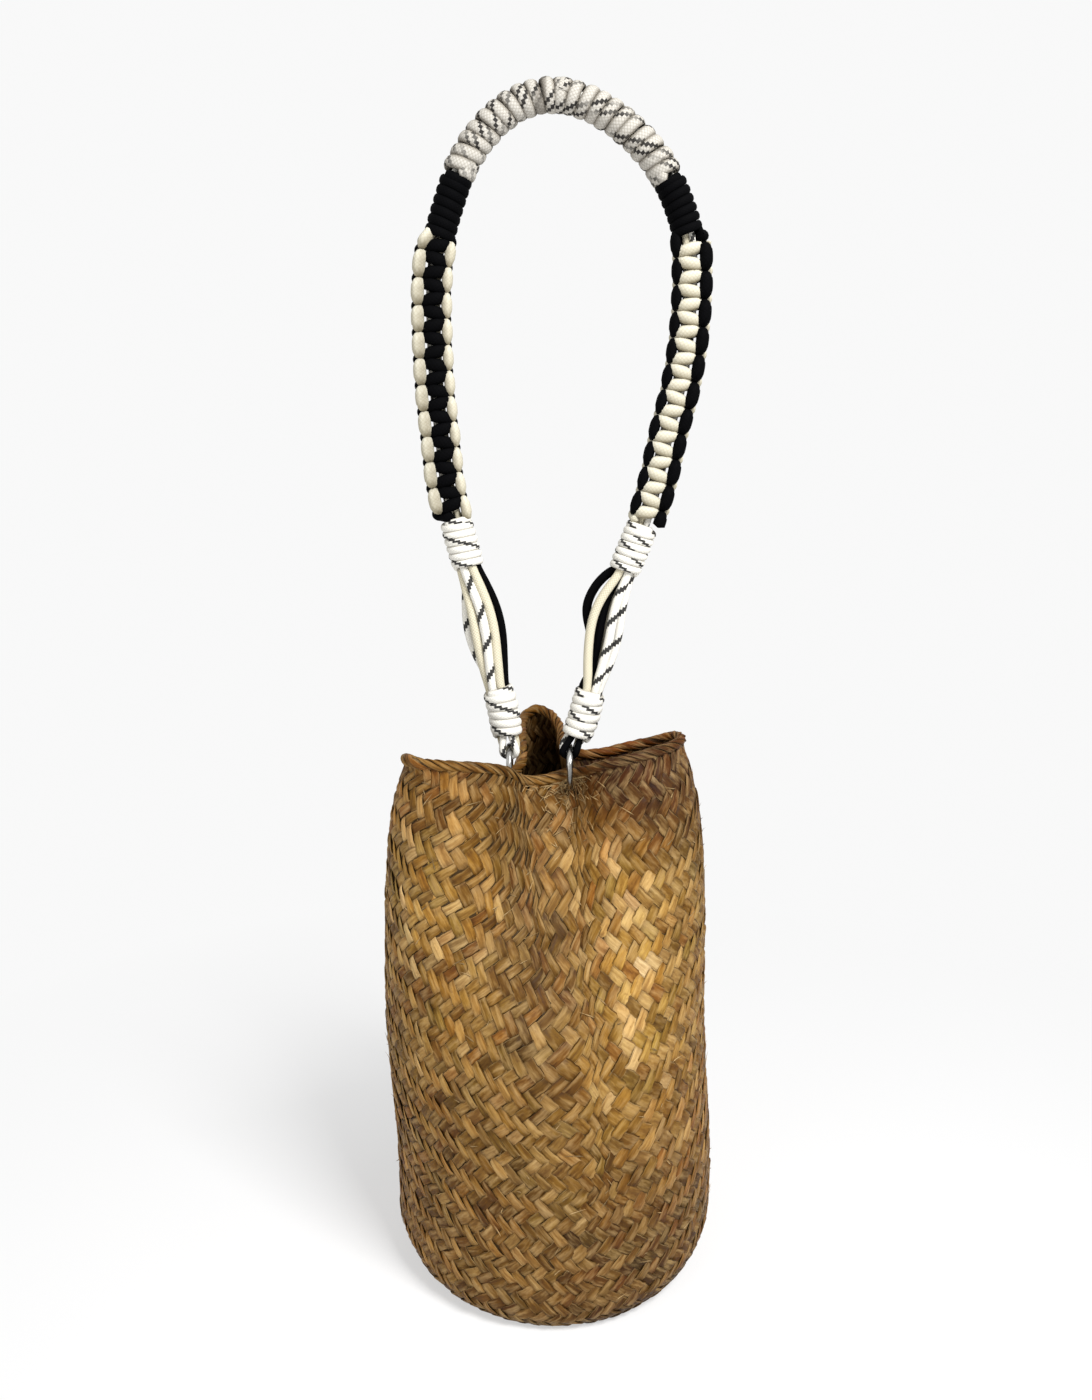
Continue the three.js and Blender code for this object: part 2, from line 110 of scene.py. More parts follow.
# Heights where the strips start and end, and how far they and the backing reach under the rim
STRIPS_FROM = -30.0
STRIPS_TO = 236.0
STRIPS_UNDER_RIM = 1.6
UNDER_RIM = 3.0
# How far a strip swings out and in at its crossings, and how soft its turns are
WEAVE_SWING = 0.5
SOFTENING = 0.22
# The rows' climb for each step aside, and how much shingling and roll lift a strip's edges
STEEP = 1.24
SHINGLE = 0.3
ROLL_HEIGHT = 1.6
# A strip's least width in cells, and how much narrower it gets between two heights
LEAST_FILL = 1.06
LOOSER = 0.14
LOOSE_HEIGHTS = (130.0, 230.0)
# Random spread of each float's lift, roll and drift, its hue, and its brightness with two limits
LIE_SPREADS = (0.13, 0.17, 0.035)
HUE_SPREAD = 0.035
BRIGHT_SPREAD = 0.2
BRIGHT_LIMITS = (0.55, 1.7)
# The strips' widths, and how much each varies along it
STRIP_WIDTHS = (0.88, 1.06)
WIDTH_SPREAD = 0.05
# Straw's texture: its step for each side of a section, and its random start
STRAW_ACROSS = 1.1
STRAW_STARTS = 900.0

# The rows of the weave sag towards the front's middle
SAG_FROM = [-25.0, -10.0, 20.0, 60.0, 200.0, 255.0]
SAG_DEEP = [0.0, 7.0, 21.0, 31.0, 37.0, 25.0]
SAG_REACH = 95.0
SAG_ROUND = 9.0
SAG_AT = -4.0
# Slow waves that move the strips up and aside: size, number round, turn with height, and start
UNEVEN_HEIGHTS = [(1.1, 5, 0.031, 0.0), (0.7, 11, -0.05, 1.3)]
UNEVEN_PLACES = [(0.9, 3, 0.045, 0.0), (0.6, 7, 0.09, 0.0)]
# Creases that crowd the strips: upper and lower share of the way round, the two heights, half width, squeeze
CREASES = [(-0.075, -0.02, 236, 150, 0.032, 0.6), (0.012, 0.02, 225, 60, 0.024, 0.5)]
CREASE_FADE = 25.0

# Woven base: radius, step from strip to strip, swing, and half a strip's thickness and width
BASE_RADIUS = 56.0
BASE_PITCH = 5.0
BASE_SWING = 0.45
BASE_STRIP = (0.28, 2.35)

# Rim plait: strips, their turn over the edge, slant, distance off it outside and inside, and half the core
RIM_STRIPS = 72
RIM_FOLD = (math.radians(-200), math.radians(150))
RIM_SLANT = 4.0
RIM_OUTSIDE = 1.35
RIM_INSIDE = 1.9
RIM_CORE = (2.2, 1.2)

# Frayed fibres on the wall, and more along the front fold's rim
HAIRS = 300
HAIRS_AT_FOLD = 160

# Cords: radii, the circles that they lie on, a bight's leg, a random start, and steps of the flecks
CORD_RADIUS = 1.95
TIED_RADIUS = 1.75
CORE_RADIUS = 1.35
BIGHT_RADIUS = 1.42
CORE_CIRCLE = 1.95
BUNDLE_CIRCLE = 3.5
LEG_CIRCLE = 3.2
BIGHT_LEG = 7.0
CORD_STARTS = 50.0
FLECK_PITCH = 13.0
WOUND_FLECK_PITCH = 21.0
TOP_WRAP_FLECK_PITCH = 12.0

# Stretches of the strap along its line, from a ring up
RING_TO_WHIPPING = 4.6
LOWER_LENGTH = 22.0
LOOSE_LENGTH = 52.0
UPPER_LENGTH = 21.5
GATHER_LENGTH = 9.0
LEFT_BRAID_LENGTH = 112.0
RIGHT_BRAID_LENGTH = 115.0
BLACK_LENGTH = 22.0
BLACK_OVER_BRAID = 2.6

# Wound cords: radius of the turns' middle, the cord's thickness, and the number of turns
TOP_WRAP = (5.3, 2.9, 22)
UPPER_WHIPPING = (5.7, 2.6, 7)
LOWER_WHIPPING = (5.7, 2.6, 6)
BLACK_WRAP = (5.2, 2.4, 7)
WINDING_STATIONS = 30
TURN_OVERLAP = 0.4

# Square knots: the length of one, and each working cord's reach aside and distance off the core
KNOT_LENGTH = 10.5
KNOT_STATIONS = 36
FRONT_ASIDE = 7.0
FRONT_LIFT = 4.4
BACK_ASIDE = 6.0
BACK_DEPTH = 4.7

# The bundle's six cords on each side: angle when tied, and spread between the whippings
BUNDLE = {
    "outer": ((0, 3.4, 2.6), (300, 2.6, -3.8)),
    "near_outer": ((60, -0.7, 4.0), (60, 3.0, 3.4)),
    "near_inner": ((120, -4.4, 2.8), (120, -5.4, 3.2)),
    "inner": ((180, -7.2, -1.4), (180, -8.6, -2.6)),
    "far_inner": ((240, -2.6, -3.6), (240, -1.4, 0.6)),
    "far_outer": ((300, 6.6, -1.8), (0, 6.6, 0.2)),
}

# Straw colours: a screen colour and how common it is
STRAW_COLOURS = [
    ((134, 98, 36), 0.34), ((148, 111, 44), 0.24), ((180, 143, 80), 0.10),
    ((148, 91, 36), 0.10), ((86, 56, 20), 0.10), ((116, 98, 38), 0.12),
]
# How near each strip's colour comes to the commonest one
STRAW_EVEN = 0.62
# Shade where a strip dips, at its edges, more there in a crease, and underneath
DIP_SHADE = 0.68
EDGE_SHADE = 0.55
CROWDED_SHADE = 0.33
UNDER_SHADE = 0.3
# Shaded straw turns redder: the power of the shade in each colour
SHADE_HUE = np.array([0.96, 1.08, 1.36])
# A warmer float gains red and loses green and blue by these shares
WARMER = np.array([1.0, -0.2, -1.4])
# How soon the brightest floats are bleached, and how far at most
BLEACHING = 1.1
MOST_BLEACHED = 0.6
# How much paler or darker a family is where it runs with the light or across it
CATCHING = 0.26
CATCHING_UP_TO = 0.7
CATCHING_FADE = 20.0

# Painted light and shade on the front, laid into the straw's colour: x, height, half width, half height, how
# much lighter
LIGHT_AND_SHADE_PATCHES = [
    (32, 152, 17, 46, 0.5), (24, 190, 16, 22, 0.32), (-40, 182, 24, 28, 0.22), (34, 238, 34, 18, -0.8),
    (-17, 212, 9, 34, -0.55), (-13, 155, 14, 34, -0.36), (0, 0, 90, 14, -0.7), (22, 35, 60, 40, -0.32),
    (-62, 100, 18, 60, 0.12), (34, 225, 30, 26, -0.34), (-66, 178, 16, 30, 0.16), (60, 205, 12, 24, -0.3),
    (0, 40, 100, 60, -0.16), (-34, 242, 22, 14, -0.3), (2, 158, 13, 32, -0.3), (46, 218, 24, 20, -0.3),
    (40, 38, 30, 24, -0.2), (18, 192, 12, 18, 0.2), (-46, 206, 22, 24, 0.1), (38, 165, 12, 24, 0.06),
    (30, 118, 22, 22, 0.14), (30, 240, 28, 14, -0.22), (-58, 212, 16, 34, 0.1), (-25, 212, 12, 14, -0.22),
    (14, 213, 18, 12, -0.22), (-6, 122, 30, 12, -0.12), (-5, 78, 20, 20, -0.14), (46, 32, 22, 20, -0.18),
    (-70, 212, 10, 40, 0.1), (44, 232, 22, 16, -0.2), (36, 8, 40, 14, -0.15), (34, 90, 20, 20, 0.08),
]
FRONT_FADE = 25.0
# Browner straw round the mouth, most of all at one place: heights, x, half width, and its colour
BROWN_HEIGHTS = (190.0, 235.0)
BROWN_X = 32.0
BROWN_HALF = 30.0
BROWN_ELSEWHERE = 0.25
BROWN = np.array([0.8, 0.43, 0.04])
# The lower half is a little redder between two heights
LOW_HEIGHTS = (115.0, 45.0)
LOW_HUE = np.array([1.03, 0.94, 0.8])
# All the straw is yellower than its strips' colours, and where painted light brightens it, it is also paler
YELLOWER = np.array([0.95, 0.915, 0.83])
LIT_PALER = np.array([-0.04, 0.2, 1.0])

# Brightness of the background, and of the light from all round
BACKDROP = 0.945
SKY_LIGHT = 0.34


def smoothstep(low, high, value):
    t = np.clip((value - low) / (high - low), 0, 1)
    return t * t * (3 - 2 * t)


def linear(red, green, blue):
    """A screen colour as the linear values that shaders use."""
    return tuple(((c / 255 + 0.055) / 1.055) ** 2.4 for c in (red, green, blue)) + (1.0,)


def unit(vectors):
    return vectors / np.linalg.norm(vectors, axis=-1, keepdims=True)


def path_length(path):
    steps = np.linalg.norm(np.diff(path, axis=0), axis=1)
    return np.concatenate([[0], np.cumsum(steps)])


def smooth_line(points, closed, steps=60):
    """Dense points on a centripetal Catmull-Rom curve, and the length up to each."""
    p = np.array(points, float)
    if closed:
        p = np.vstack([p[-1:], p, p[:2]])
    else:
        p = np.vstack([2 * p[0] - p[1], p, 2 * p[-1] - p[-2]])
    t = np.linspace(0, 1, steps, endpoint=False)[:, None]
    dense = []
    for a, b, c, d in zip(p, p[1:], p[2:], p[3:]):
        ab, bc, cd = (math.sqrt(np.linalg.norm(v - u)) for u, v in ((a, b), (b, c), (c, d)))
        start = ((b - a) / ab - (c - a) / (ab + bc) + (c - b) / bc) * bc
        end = ((c - b) / bc - (d - b) / (bc + cd) + (d - c) / cd) * bc
        curve = b + start * t + (3 * (c - b) - 2 * start - end) * t**2
        dense.append(curve + (2 * (b - c) + start + end) * t**3)
    dense.append(p[-2][None])
    dense = np.vstack(dense)
    return dense, path_length(dense)


def at_length(line, where):
    dense, length = line
    where = np.asarray(where, float)
    return np.stack([np.interp(where, length, dense[:, k]) for k in range(3)], axis=-1)


# Basket surface
mouth_line = smooth_line([(x, y, RIM_HEIGHT - drop) for x, y, drop in MOUTH], True)
mouth_length = mouth_line[1][-1]


def mouth_at(share):
    return at_length(mouth_line, np.mod(share, 1) * mouth_length)


def mouth_outward(share, reach=0.0005):
    tangent = mouth_at(share + reach) - mouth_at(share - reach)
    return unit(tangent[..., [1, 0, 2]] * [1, -1, 0])


def wall_top(share):
    """The wall's height under the rim."""
    return mouth_at(share)[..., 2] - RIM_TALL - CLEARANCE


def wall_at(share, height):
    """The basket's outer surface at a share of the way round and a height along its wall and corner."""
    mouth = mouth_at(share)
    top = mouth[..., 2] - RIM_TALL - CLEARANCE
    angle = FOOT_START + 2 * math.pi * share + FOOT_SWING * np.cos(2 * math.pi * (share - FOOT_SWING_AT))
    corner = FRONT_CORNER + (SIDE_CORNER - FRONT_CORNER) * np.cos(angle) ** 2
    low = np.maximum(corner - height, 0)
    turn = np.minimum(low / corner, math.pi / 2)
    inward = corner * (1 - np.cos(turn)) + np.maximum(low - corner * math.pi / 2, 0)
    z = np.where(low > 0, corner * (1 - np.sin(turn)), np.minimum(height, top + UNDER_RIM))
    radius = BODY_RADIUS - inward
    lean = LEAN_ASIDE * smoothstep(*LEAN_HEIGHTS, z)
    round_x = lean + radius * np.cos(angle)
    round_y = radius * np.sin(angle)
    outward = mouth_outward(share) * WALL_THICK / 2
    folded_x = mouth[..., 0] + outward[..., 0]
    folded_y = mouth[..., 1] + outward[..., 1]
    pull = np.hypot(round_x - folded_x, round_y - folded_y)
    climb = np.clip((z - FOLD_START) / (top - FOLD_START), 0, 1)
    as_fold = smoothstep(*FOLD_PULLS, pull)
    weight = as_fold * smoothstep(0, 1, climb) + (1 - as_fold) * climb**LOBE_POWER
    x = round_x + (folded_x - round_x) * weight
    y = round_y + (folded_y - round_y) * weight
    crease_x = CREASE_X + CREASE_SLANT * (z - CREASE_MIDDLE)
    crease = np.exp(-((x - crease_x) / CREASE_HALF) ** 2) * smoothstep(CREASE_FROM, CREASE_MIDDLE, z)
    y = y + CREASE_DEPTH * crease * smoothstep(CREASE_TO, CREASE_MIDDLE, z) * (np.sin(angle) < 0)
    return np.stack([x, y, z], axis=-1)


def wall_normal(share, height, share_step=0.003, height_step=1.2):
    aside = wall_at(share + share_step, height) - wall_at(share - share_step, height)
    up = wall_at(share, height + height_step) - wall_at(share, height - height_step)
    return unit(np.cross(aside, up))


# Mesh making
def link(name, data):
    piece = bpy.data.objects.new(name, data)
    scene.collection.objects.link(piece)
    return piece


def mesh_of(name, points, quads, corner_uv, tint=None):
    """A smooth mesh from points in millimetres and four-sided faces."""
    mesh = bpy.data.meshes.new(name)
    mesh.vertices.add(len(points))
    mesh.vertices.foreach_set("co", (points * MM).ravel())
    mesh.loops.add(quads.size)
    mesh.loops.foreach_set("vertex_index", quads.ravel().astype(np.int32))
    mesh.polygons.add(len(quads))
    mesh.polygons.foreach_set("loop_start", np.arange(0, quads.size, 4, dtype=np.int32))
    mesh.update(calc_edges=True)
    mesh.polygons.foreach_set("use_smooth", np.ones(len(quads), bool))
    layer = mesh.uv_layers.new(name="UVMap")
    layer.data.foreach_set("uv", corner_uv.ravel())
    if tint is not None:
        colours = mesh.color_attributes.new("tint", "FLOAT_COLOR", "POINT")
        colours.data.foreach_set("color", tint.ravel())
    mesh.update()
    return mesh


def join_parts(parts):
    """Several (points, quads, uv, tint) as one."""
    points, quads, uv, tint = zip(*parts)
    starts = np.cumsum([0] + [len(p) for p in points[:-1]])
    quads = [faces + start for faces, start in zip(quads, starts)]
    return np.vstack(points), np.vstack(quads), np.vstack(uv), np.vstack(tint)


def grid_faces(stations, sides):
    """Faces between neighbouring rings of a tube, and each face's station and side."""
    k, m = np.meshgrid(np.arange(stations - 1), np.arange(sides), indexing="ij")
    n = (m + 1) % sides
    quads = np.stack([k * sides + m, k * sides + n, (k + 1) * sides + n, (k + 1) * sides + m], axis=-1)
    return quads.reshape(-1, 4), k.ravel(), m.ravel()


def face_uv(along, around, k, m):
    """Texture places of each face's corners, from those of the stations and sides."""
    u = np.stack([along[k], along[k], along[k + 1], along[k + 1]], axis=-1)
    v = np.stack([around[m], around[m + 1], around[m + 1], around[m]], axis=-1)
    return np.stack([u, v], axis=-1)


def opaque(colours):
    return np.concatenate([colours, np.ones(colours.shape[:-1] + (1,))], axis=-1)


def even_tint(colour, count):
    return np.tile(np.array([*colour[:3], 1.0]), (count, 1))


def tube(path, up, radius_up, radius_across, sides=10, start=0.0, colour=None):
    """A cord along a path, with an elliptic section that the up direction sets."""
    tangent = unit(np.gradient(path, axis=0))
    up = unit(up - np.sum(up * tangent, axis=1, keepdims=True) * tangent)
    across = np.cross(tangent, up)
    count = len(path)
    # Both ends draw in to close the cord
    ends = np.ones(count)
    ends[[0, -1]] = 0.1
    ru = np.broadcast_to(radius_up, count) * ends
    ra = np.broadcast_to(radius_across, count) * ends
    angle = 2 * math.pi * np.arange(sides) / sides
    ring = (path[:, None] + up[:, None] * (ru[:, None] * np.cos(angle))[..., None]
            + across[:, None] * (ra[:, None] * np.sin(angle))[..., None])
    quads, k, m = grid_faces(count, sides)
    uv = face_uv(start + path_length(path), np.arange(sides + 1) / sides, k, m)
    tint = None if colour is None else even_tint(colour, count * sides)
    return ring.reshape(-1, 3), quads, uv.reshape(-1, 2), tint


def add_piece(name, part, material, body, slot, *nodes):
    points, quads, uv, tint = part
    piece = link(name, mesh_of(name, points, quads, uv, tint))
    piece.data.materials.append(material)
    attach(piece, body)
    if nodes:
        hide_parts(*nodes)


def strap_piece(name, part, cord, node, material=None):
    """A piece of the strap, with its cord's material unless another is given: flecked, cream or black."""
    add_piece(name, part, material or CORDS[cord], "strap", f"{cord}_cord", node)


# Shader helpers
class Nodes:
    """Short ways to add shader nodes to a material or a world."""

    def __init__(self, owner):
        owner.use_nodes = True
        self.owner = owner
        self.tree = owner.node_tree
        self.surface = self.tree.nodes.get("Principled BSDF")

    def feed(self, node, inputs):
        """Link or set a node's inputs, given by name or number."""
        for name, value in inputs.items():
            socket = node.inputs[name]
            if isinstance(value, bpy.types.NodeSocket):
                self.tree.links.new(value, socket)
            else:
                socket.default_value = value

    def add(self, kind, inputs, output, **settings):
        """Add a node, feed its inputs, and give one of its outputs."""
        node = self.tree.nodes.new(kind)
        for name, value in settings.items():
            setattr(node, name, value)
        self.feed(node, inputs)
        return node.outputs[output]

    def math(self, operation, a, b=0.0, clamp=False):
        return self.add("ShaderNodeMath", {0: a, 1: b}, 0, operation=operation, use_clamp=clamp)

    def times(self, a, b):
        return self.math("MULTIPLY", a, b)

    def away(self, value, middle):
        return self.math("ABSOLUTE", self.math("SUBTRACT", value, middle))

    def mix(self, factor, a, b, blend="MIX"):
        inputs = {"Factor": factor, "A": a, "B": b}
        return self.add("ShaderNodeMix", inputs, "Result", data_type="RGBA", blend_type=blend)

    def dim(self, base, factor, red, green, blue):
        """The base multiplied by a colour, as far as the factor says."""
        return self.mix(factor, base, (red, green, blue, 1), "MULTIPLY")

    def noise(self, vector, scale, detail=3.0, roughness=0.5):
        inputs = {"Vector": vector, "Scale": scale, "Detail": detail, "Roughness": roughness}
        return self.add("ShaderNodeTexNoise", inputs, "Fac")

    def range(self, value, low, high, to_low=0.0, to_high=1.0):
        inputs = {"Value": value, "From Min": low, "From Max": high, "To Min": to_low, "To Max": to_high}
        return self.add("ShaderNodeMapRange", inputs, "Result")

    def scaled(self, vector, x, y):
        return self.add("ShaderNodeVectorMath", {0: vector, 1: (x, y, 1.0)}, 0, operation="MULTIPLY")

    def uv(self):
        return self.add("ShaderNodeUVMap", {}, "UV", uv_map="UVMap")

    def place(self, kind="Object"):
        """The point's own place or direction on the piece."""
        return self.add("ShaderNodeTexCoord", {}, kind)

    def split(self, vector, part):
        """One part of a vector: 0 for x, 1 for y, 2 for z."""
        return self.add("ShaderNodeSeparateXYZ", {0: vector}, part)

    def bump(self, height, strength, distance):
        inputs = {"Height": height, "Strength": strength, "Distance": distance}
        self.feed(self.surface, {"Normal": self.add("ShaderNodeBump", inputs, "Normal")})

    def cover(self, colour, roughness, gloss):
        self.feed(self.surface, {"Base Color": colour, "Roughness": roughness, "Specular IOR Level": gloss})

    def mix_shaders(self, factor, a, b):
        return self.add("ShaderNodeMixShader", {0: factor, 1: a, 2: b}, 0)

    def showing_background(self):
        """1 on the rays that show the background: the camera's, and those off metal or through glass."""
        rays = self.tree.nodes.new("ShaderNodeLightPath").outputs
        either = self.math("ADD", rays["Is Camera Ray"], rays["Is Glossy Ray"], clamp=True)
        return self.math("ADD", either, rays["Is Transmission Ray"], clamp=True)


def new_material(name):
    return Nodes(bpy.data.materials.new(name))


def straw_material(name, stains):
    """Dry straw: a strip's own tint with streaks, stains and specks."""
    n = new_material(name)
    uv = n.uv()
    place = n.place()
    tint = n.add("ShaderNodeVertexColor", {}, "Color", layer_name="tint")
    fibre = n.noise(n.scaled(uv, 0.12, 3.2), 1.0, 4.0, 0.6)
    streak = n.noise(n.scaled(uv, 0.09, 1.1), 1.0, 3.0, 0.6)
    stain = n.noise(place, 38.0, 4.0, 0.6)
    speck = n.noise(place, 420.0, 3.0, 0.6)
    colour = n.mix(n.range(streak, 0.46, 0.72, 0, 0.5), tint, linear(194, 164, 114))
    colour = n.dim(colour, n.range(streak, 0.5, 0.3, 0, 0.8), 0.5, 0.4, 0.29)
    colour = n.dim(colour, n.range(fibre, 0.62, 0.36, 0, 0.8), 0.62, 0.55, 0.45)
    colour = n.dim(colour, n.range(stain, 0.5, 0.72, 0, stains), 0.55, 0.44, 0.3)
    colour = n.dim(colour, n.range(speck, 0.58, 0.75, 0, 0.6), 0.5, 0.4, 0.3)
    n.cover(colour, n.range(fibre, 0.3, 0.7, 0.48, 0.7), 0.14)
    n.bump(n.math("ADD", n.times(fibre, 0.6), streak), 0.8, 0.0006)
    return n.owner


def crossing_yarns(n, along, around, count=8.0, climb=0.8):
    """The braid's fine crossing yarns: 1 on their backs and 0 in the grooves."""
    turned = n.times(around, count)
    climbed = n.times(along, climb)
    ridges = []
    for operation in ("ADD", "SUBTRACT"):
        across = n.math("FRACT", n.math(operation, turned, climbed))
        ridges.append(n.math("SINE", n.times(across, math.pi)))
    return n.times(*ridges)


def tracer(n, along, around, pitch, half, steps=11.0, edge=0.01):
    """Where a dark tracer yarn climbs round the cord in steps, and how far it has turned."""
    step = n.math("DIVIDE", n.math("FLOOR", n.times(around, steps)), steps)
    turn = n.math("FRACT", n.math("SUBTRACT", n.math("DIVIDE", along, pitch), step))
    return n.range(n.away(turn, 0.5), half + edge, half - edge), turn


def broken_tracer(n, uv, dash, turn, broken):
    """The tracer with a second, thinner one beside it, both rubbed away in places."""
    beside_it = n.math("FRACT", n.math("ADD", turn, 0.3))
    dash = n.math("MAXIMUM", dash, n.range(n.away(beside_it, 0.5), 0.07, 0.05))
    patchy = n.noise(n.scaled(uv, 0.07, 0.0), 1.0, 2.0)
    return n.times(dash, n.range(patchy, 0.4, 0.52, 1 - broken, 1.0))


def cord_material(name, colour, shade, fleck=None, pitch=FLECK_PITCH, gloss=0.12, dash_half=0.07,
                  broken=0.0, side_shade=None, under=0.0, band=None):
    """Braided cord, plain or flecked. It may have painted shade at its sides and on what faces down, and be
    darker in a band.
    """
    n = new_material(name)
    uv = n.uv()
    along = n.split(uv, 0)
    around = n.split(uv, 1)
    yarn = crossing_yarns(n, along, around)
    fuzz = n.noise(n.scaled(uv, 1.0, 9.0), 3.0, 3.0, 0.6)
    base = n.mix(n.range(yarn, 0.0, 0.55), shade, colour)
    if fleck:
        dash, turn = tracer(n, along, around, pitch, dash_half)
        if broken:
            dash = broken_tracer(n, uv, dash, turn, broken)
        base = n.mix(dash, base, fleck)
    # Painted shade on the cord's sides, in the grooves between turns and knots
    if side_shade:
        side_shade_from, side_shade_most = side_shade
        aside = n.math("ABSOLUTE", n.math("SINE", n.times(around, 2 * math.pi)))
        base = n.dim(base, n.range(aside, side_shade_from, 0.98, 0, side_shade_most), 0.4, 0.37, 0.33)
    # Painted shade on what faces down
    if under:
        upward = n.split(n.place("Normal"), 2)
        base = n.dim(base, n.range(upward, 0.75, -0.75, 0, under), 0.53, 0.49, 0.41)
    # A darker band across the cord at one x, with a fuzzy edge
    if band:
        band_x, band_half = band
        from_band = n.away(n.split(n.place(), 0), band_x * MM)
        band_reach = n.math("ADD", from_band, n.times(fuzz, 0.0012))
        fading = n.range(band_reach, band_half * MM, (band_half - 0.8) * MM, 0, 0.8)
        base = n.dim(base, fading, 0.42, 0.4, 0.38)
    n.cover(n.mix(n.range(fuzz, 0.3, 0.7, 0.0, 0.1), base, shade), 0.75, gloss)
    n.bump(n.math("ADD", yarn, n.times(fuzz, 0.25)), 0.3, 0.00015)
    return n.owner


def steel_material():
    """Polished steel wire with fine draw marks along it and dull spots."""
    n = new_material("ring_steel")
    marks = n.noise(n.scaled(n.uv(), 0.3, 14.0), 2.0, 3.0, 0.6)
    dull = n.noise(n.place(), 160.0, 3.0)
    colour = n.mix(n.range(dull, 0.4, 0.7), linear(168, 167, 164), linear(116, 115, 112))
    roughness = n.range(marks, 0.3, 0.7, 0.16, 0.34)
    n.feed(n.surface, {"Base Color": colour, "Metallic": 1.0, "Roughness": roughness})
    n.bump(marks, 0.15, 0.0001)
    return n.owner


STRAW = straw_material("straw_strip", 0.45)
RIM_STRAW = straw_material("rim_strip", 0.6)
PALE_STRAW = np.array(linear(188, 160, 114)[:3])
# Painted shade: the dark colour of the layer seen through the weave's gaps
BACKING_SHADE = linear(42, 26, 11)
RIM_CORE_TINT = linear(70, 48, 24)

# The flecked cord's yarns, their shade and its flecks, and the same cord for the top wrap: greyer, and
# darkened further as painted shade
FLECKED = (linear(228, 226, 218), linear(212, 208, 198), linear(14, 14, 18))
TOP_WRAP_GREY = (linear(189, 185, 177), linear(160, 155, 145), linear(30, 28, 28))
# Whippings with painted shade between their turns
WOUND_WHITE = cord_material("wound_flecked_cord", *FLECKED, WOUND_FLECK_PITCH, side_shade=(0.72, 0.7))
TOP_WRAP_WHITE = cord_material("top_wrap_flecked_cord", *TOP_WRAP_GREY, TOP_WRAP_FLECK_PITCH, broken=0.95,
                           side_shade=(0.4, 0.9), band=(-6.0, 3.2))
# The braids' cream, with painted shade at its sides and on what faces down
KNOTTED_CREAM = cord_material("knotted_cream_cord", linear(216, 212, 196), linear(203, 198, 178),
                              side_shade=(0.6, 0.6), under=1.0)
CORDS = {
    "flecked": cord_material("flecked_cord", *FLECKED, dash_half=0.115),
    "cream": cord_material("cream_cord", linear(213, 206, 184), linear(184, 176, 150)),
    "black": cord_material("black_cord", linear(4, 4, 6), linear(1, 1, 2), gloss=0.03),
}
STEEL = steel_material()


# Straw
def painted_light_and_hue(points):
    """The straw's change of colour at each point: painted light and shade on the front, paler where lit,
    browner round the mouth and redder low down.
    """
    x, y, z = np.moveaxis(points, -1, 0)
    lighter = np.zeros(x.shape)
    for at_x, at_z, half_x, half_z, change in LIGHT_AND_SHADE_PATCHES:
        lighter = lighter + change * np.exp(-((x - at_x) / half_x) ** 2 - ((z - at_z) / half_z) ** 2)
    lighter = lighter * smoothstep(FRONT_FADE, -FRONT_FADE, y)
    beside_it = np.exp(-((x - BROWN_X) / BROWN_HALF) ** 2)
    near_it = BROWN_ELSEWHERE + (1 - BROWN_ELSEWHERE) * beside_it
    brown = (smoothstep(*BROWN_HEIGHTS, z) * near_it)[..., None]
    # Painted light turns the straw paler as well as lighter
    paler = 1 + LIT_PALER * np.clip(lighter, 0, 1)[..., None]
    low = 1 + (LOW_HUE - 1) * smoothstep(*LOW_HEIGHTS, z)[..., None]
    return YELLOWER * np.exp(lighter)[..., None] * paler * low * (1 + (BROWN - 1) * brown)


def straw_tints(count):
    shares = np.array([share for _, share in STRAW_COLOURS])
    chosen = rng.choice(len(STRAW_COLOURS), size=count, p=shares / shares.sum())
    colours = np.array([linear(*colour)[:3] for colour, _ in STRAW_COLOURS])
    colours = STRAW_EVEN * colours[0] + (1 - STRAW_EVEN) * colours[chosen]
    return colours * rng.uniform(0.85, 1.15, (count, 1))


def over_under(cells):
    """Two over, two under: 1 where the rising strip lies on top, as rows round the basket."""
    return np.where(np.mod(cells, 4) < 2, 1.0, -1.0)


def softened(side, share):
    """Sides taken along a strip, each with a share of its two neighbours."""
    return share * np.roll(side, 1) + (1 - 2 * share) * side + share * np.roll(side, -1)


# A strip's section: six corners as shares of its width and its thickness
SECTION = np.array([(-0.5, 0.0), (-0.38, 0.5), (0.38, 0.5), (0.5, 0.0), (0.38, -0.5), (-0.38, -0.5)])
SECTION_SIDES = len(SECTION)
AT_EDGE = np.abs(SECTION[:, 0]) > 0.4
UNDERNEATH = SECTION[:, 1] < 0


def strip_faces(stations):
    """The faces of one family's strips, and the station and side of each face of one strip."""
    quads, k, m = grid_faces(stations, SECTION_SIDES)
    starts = (np.arange(STRIPS) * stations * SECTION_SIDES)[:, None, None]
    return (quads[None] + starts).reshape(-1, 4), k, m


def strip_run(way, climb):
    """Places along a strip in cells, its swing at each, and the float that each lies on."""
    lowest = int(2 * STRIPS_FROM / climb)
    highest = int(2 * (STRIPS_TO + max(SAG_DEEP)) / climb) + 2
    rel = way * (np.arange(lowest * PER_CELL, highest * PER_CELL) / PER_CELL + 0.5 / PER_CELL)
    cells = np.floor(rel).astype(int)
    side = way * over_under(way * cells)
    floats = (cells if way > 0 else cells - 1) // 2
    return rel, softened(side, SOFTENING), floats - floats.min()


def float_values(floats, middle, spread):
    """A random value for each float of each strip, as one for each place along the strips."""
    return rng.normal(middle, spread, (STRIPS, floats.max() + 1))[:, floats]


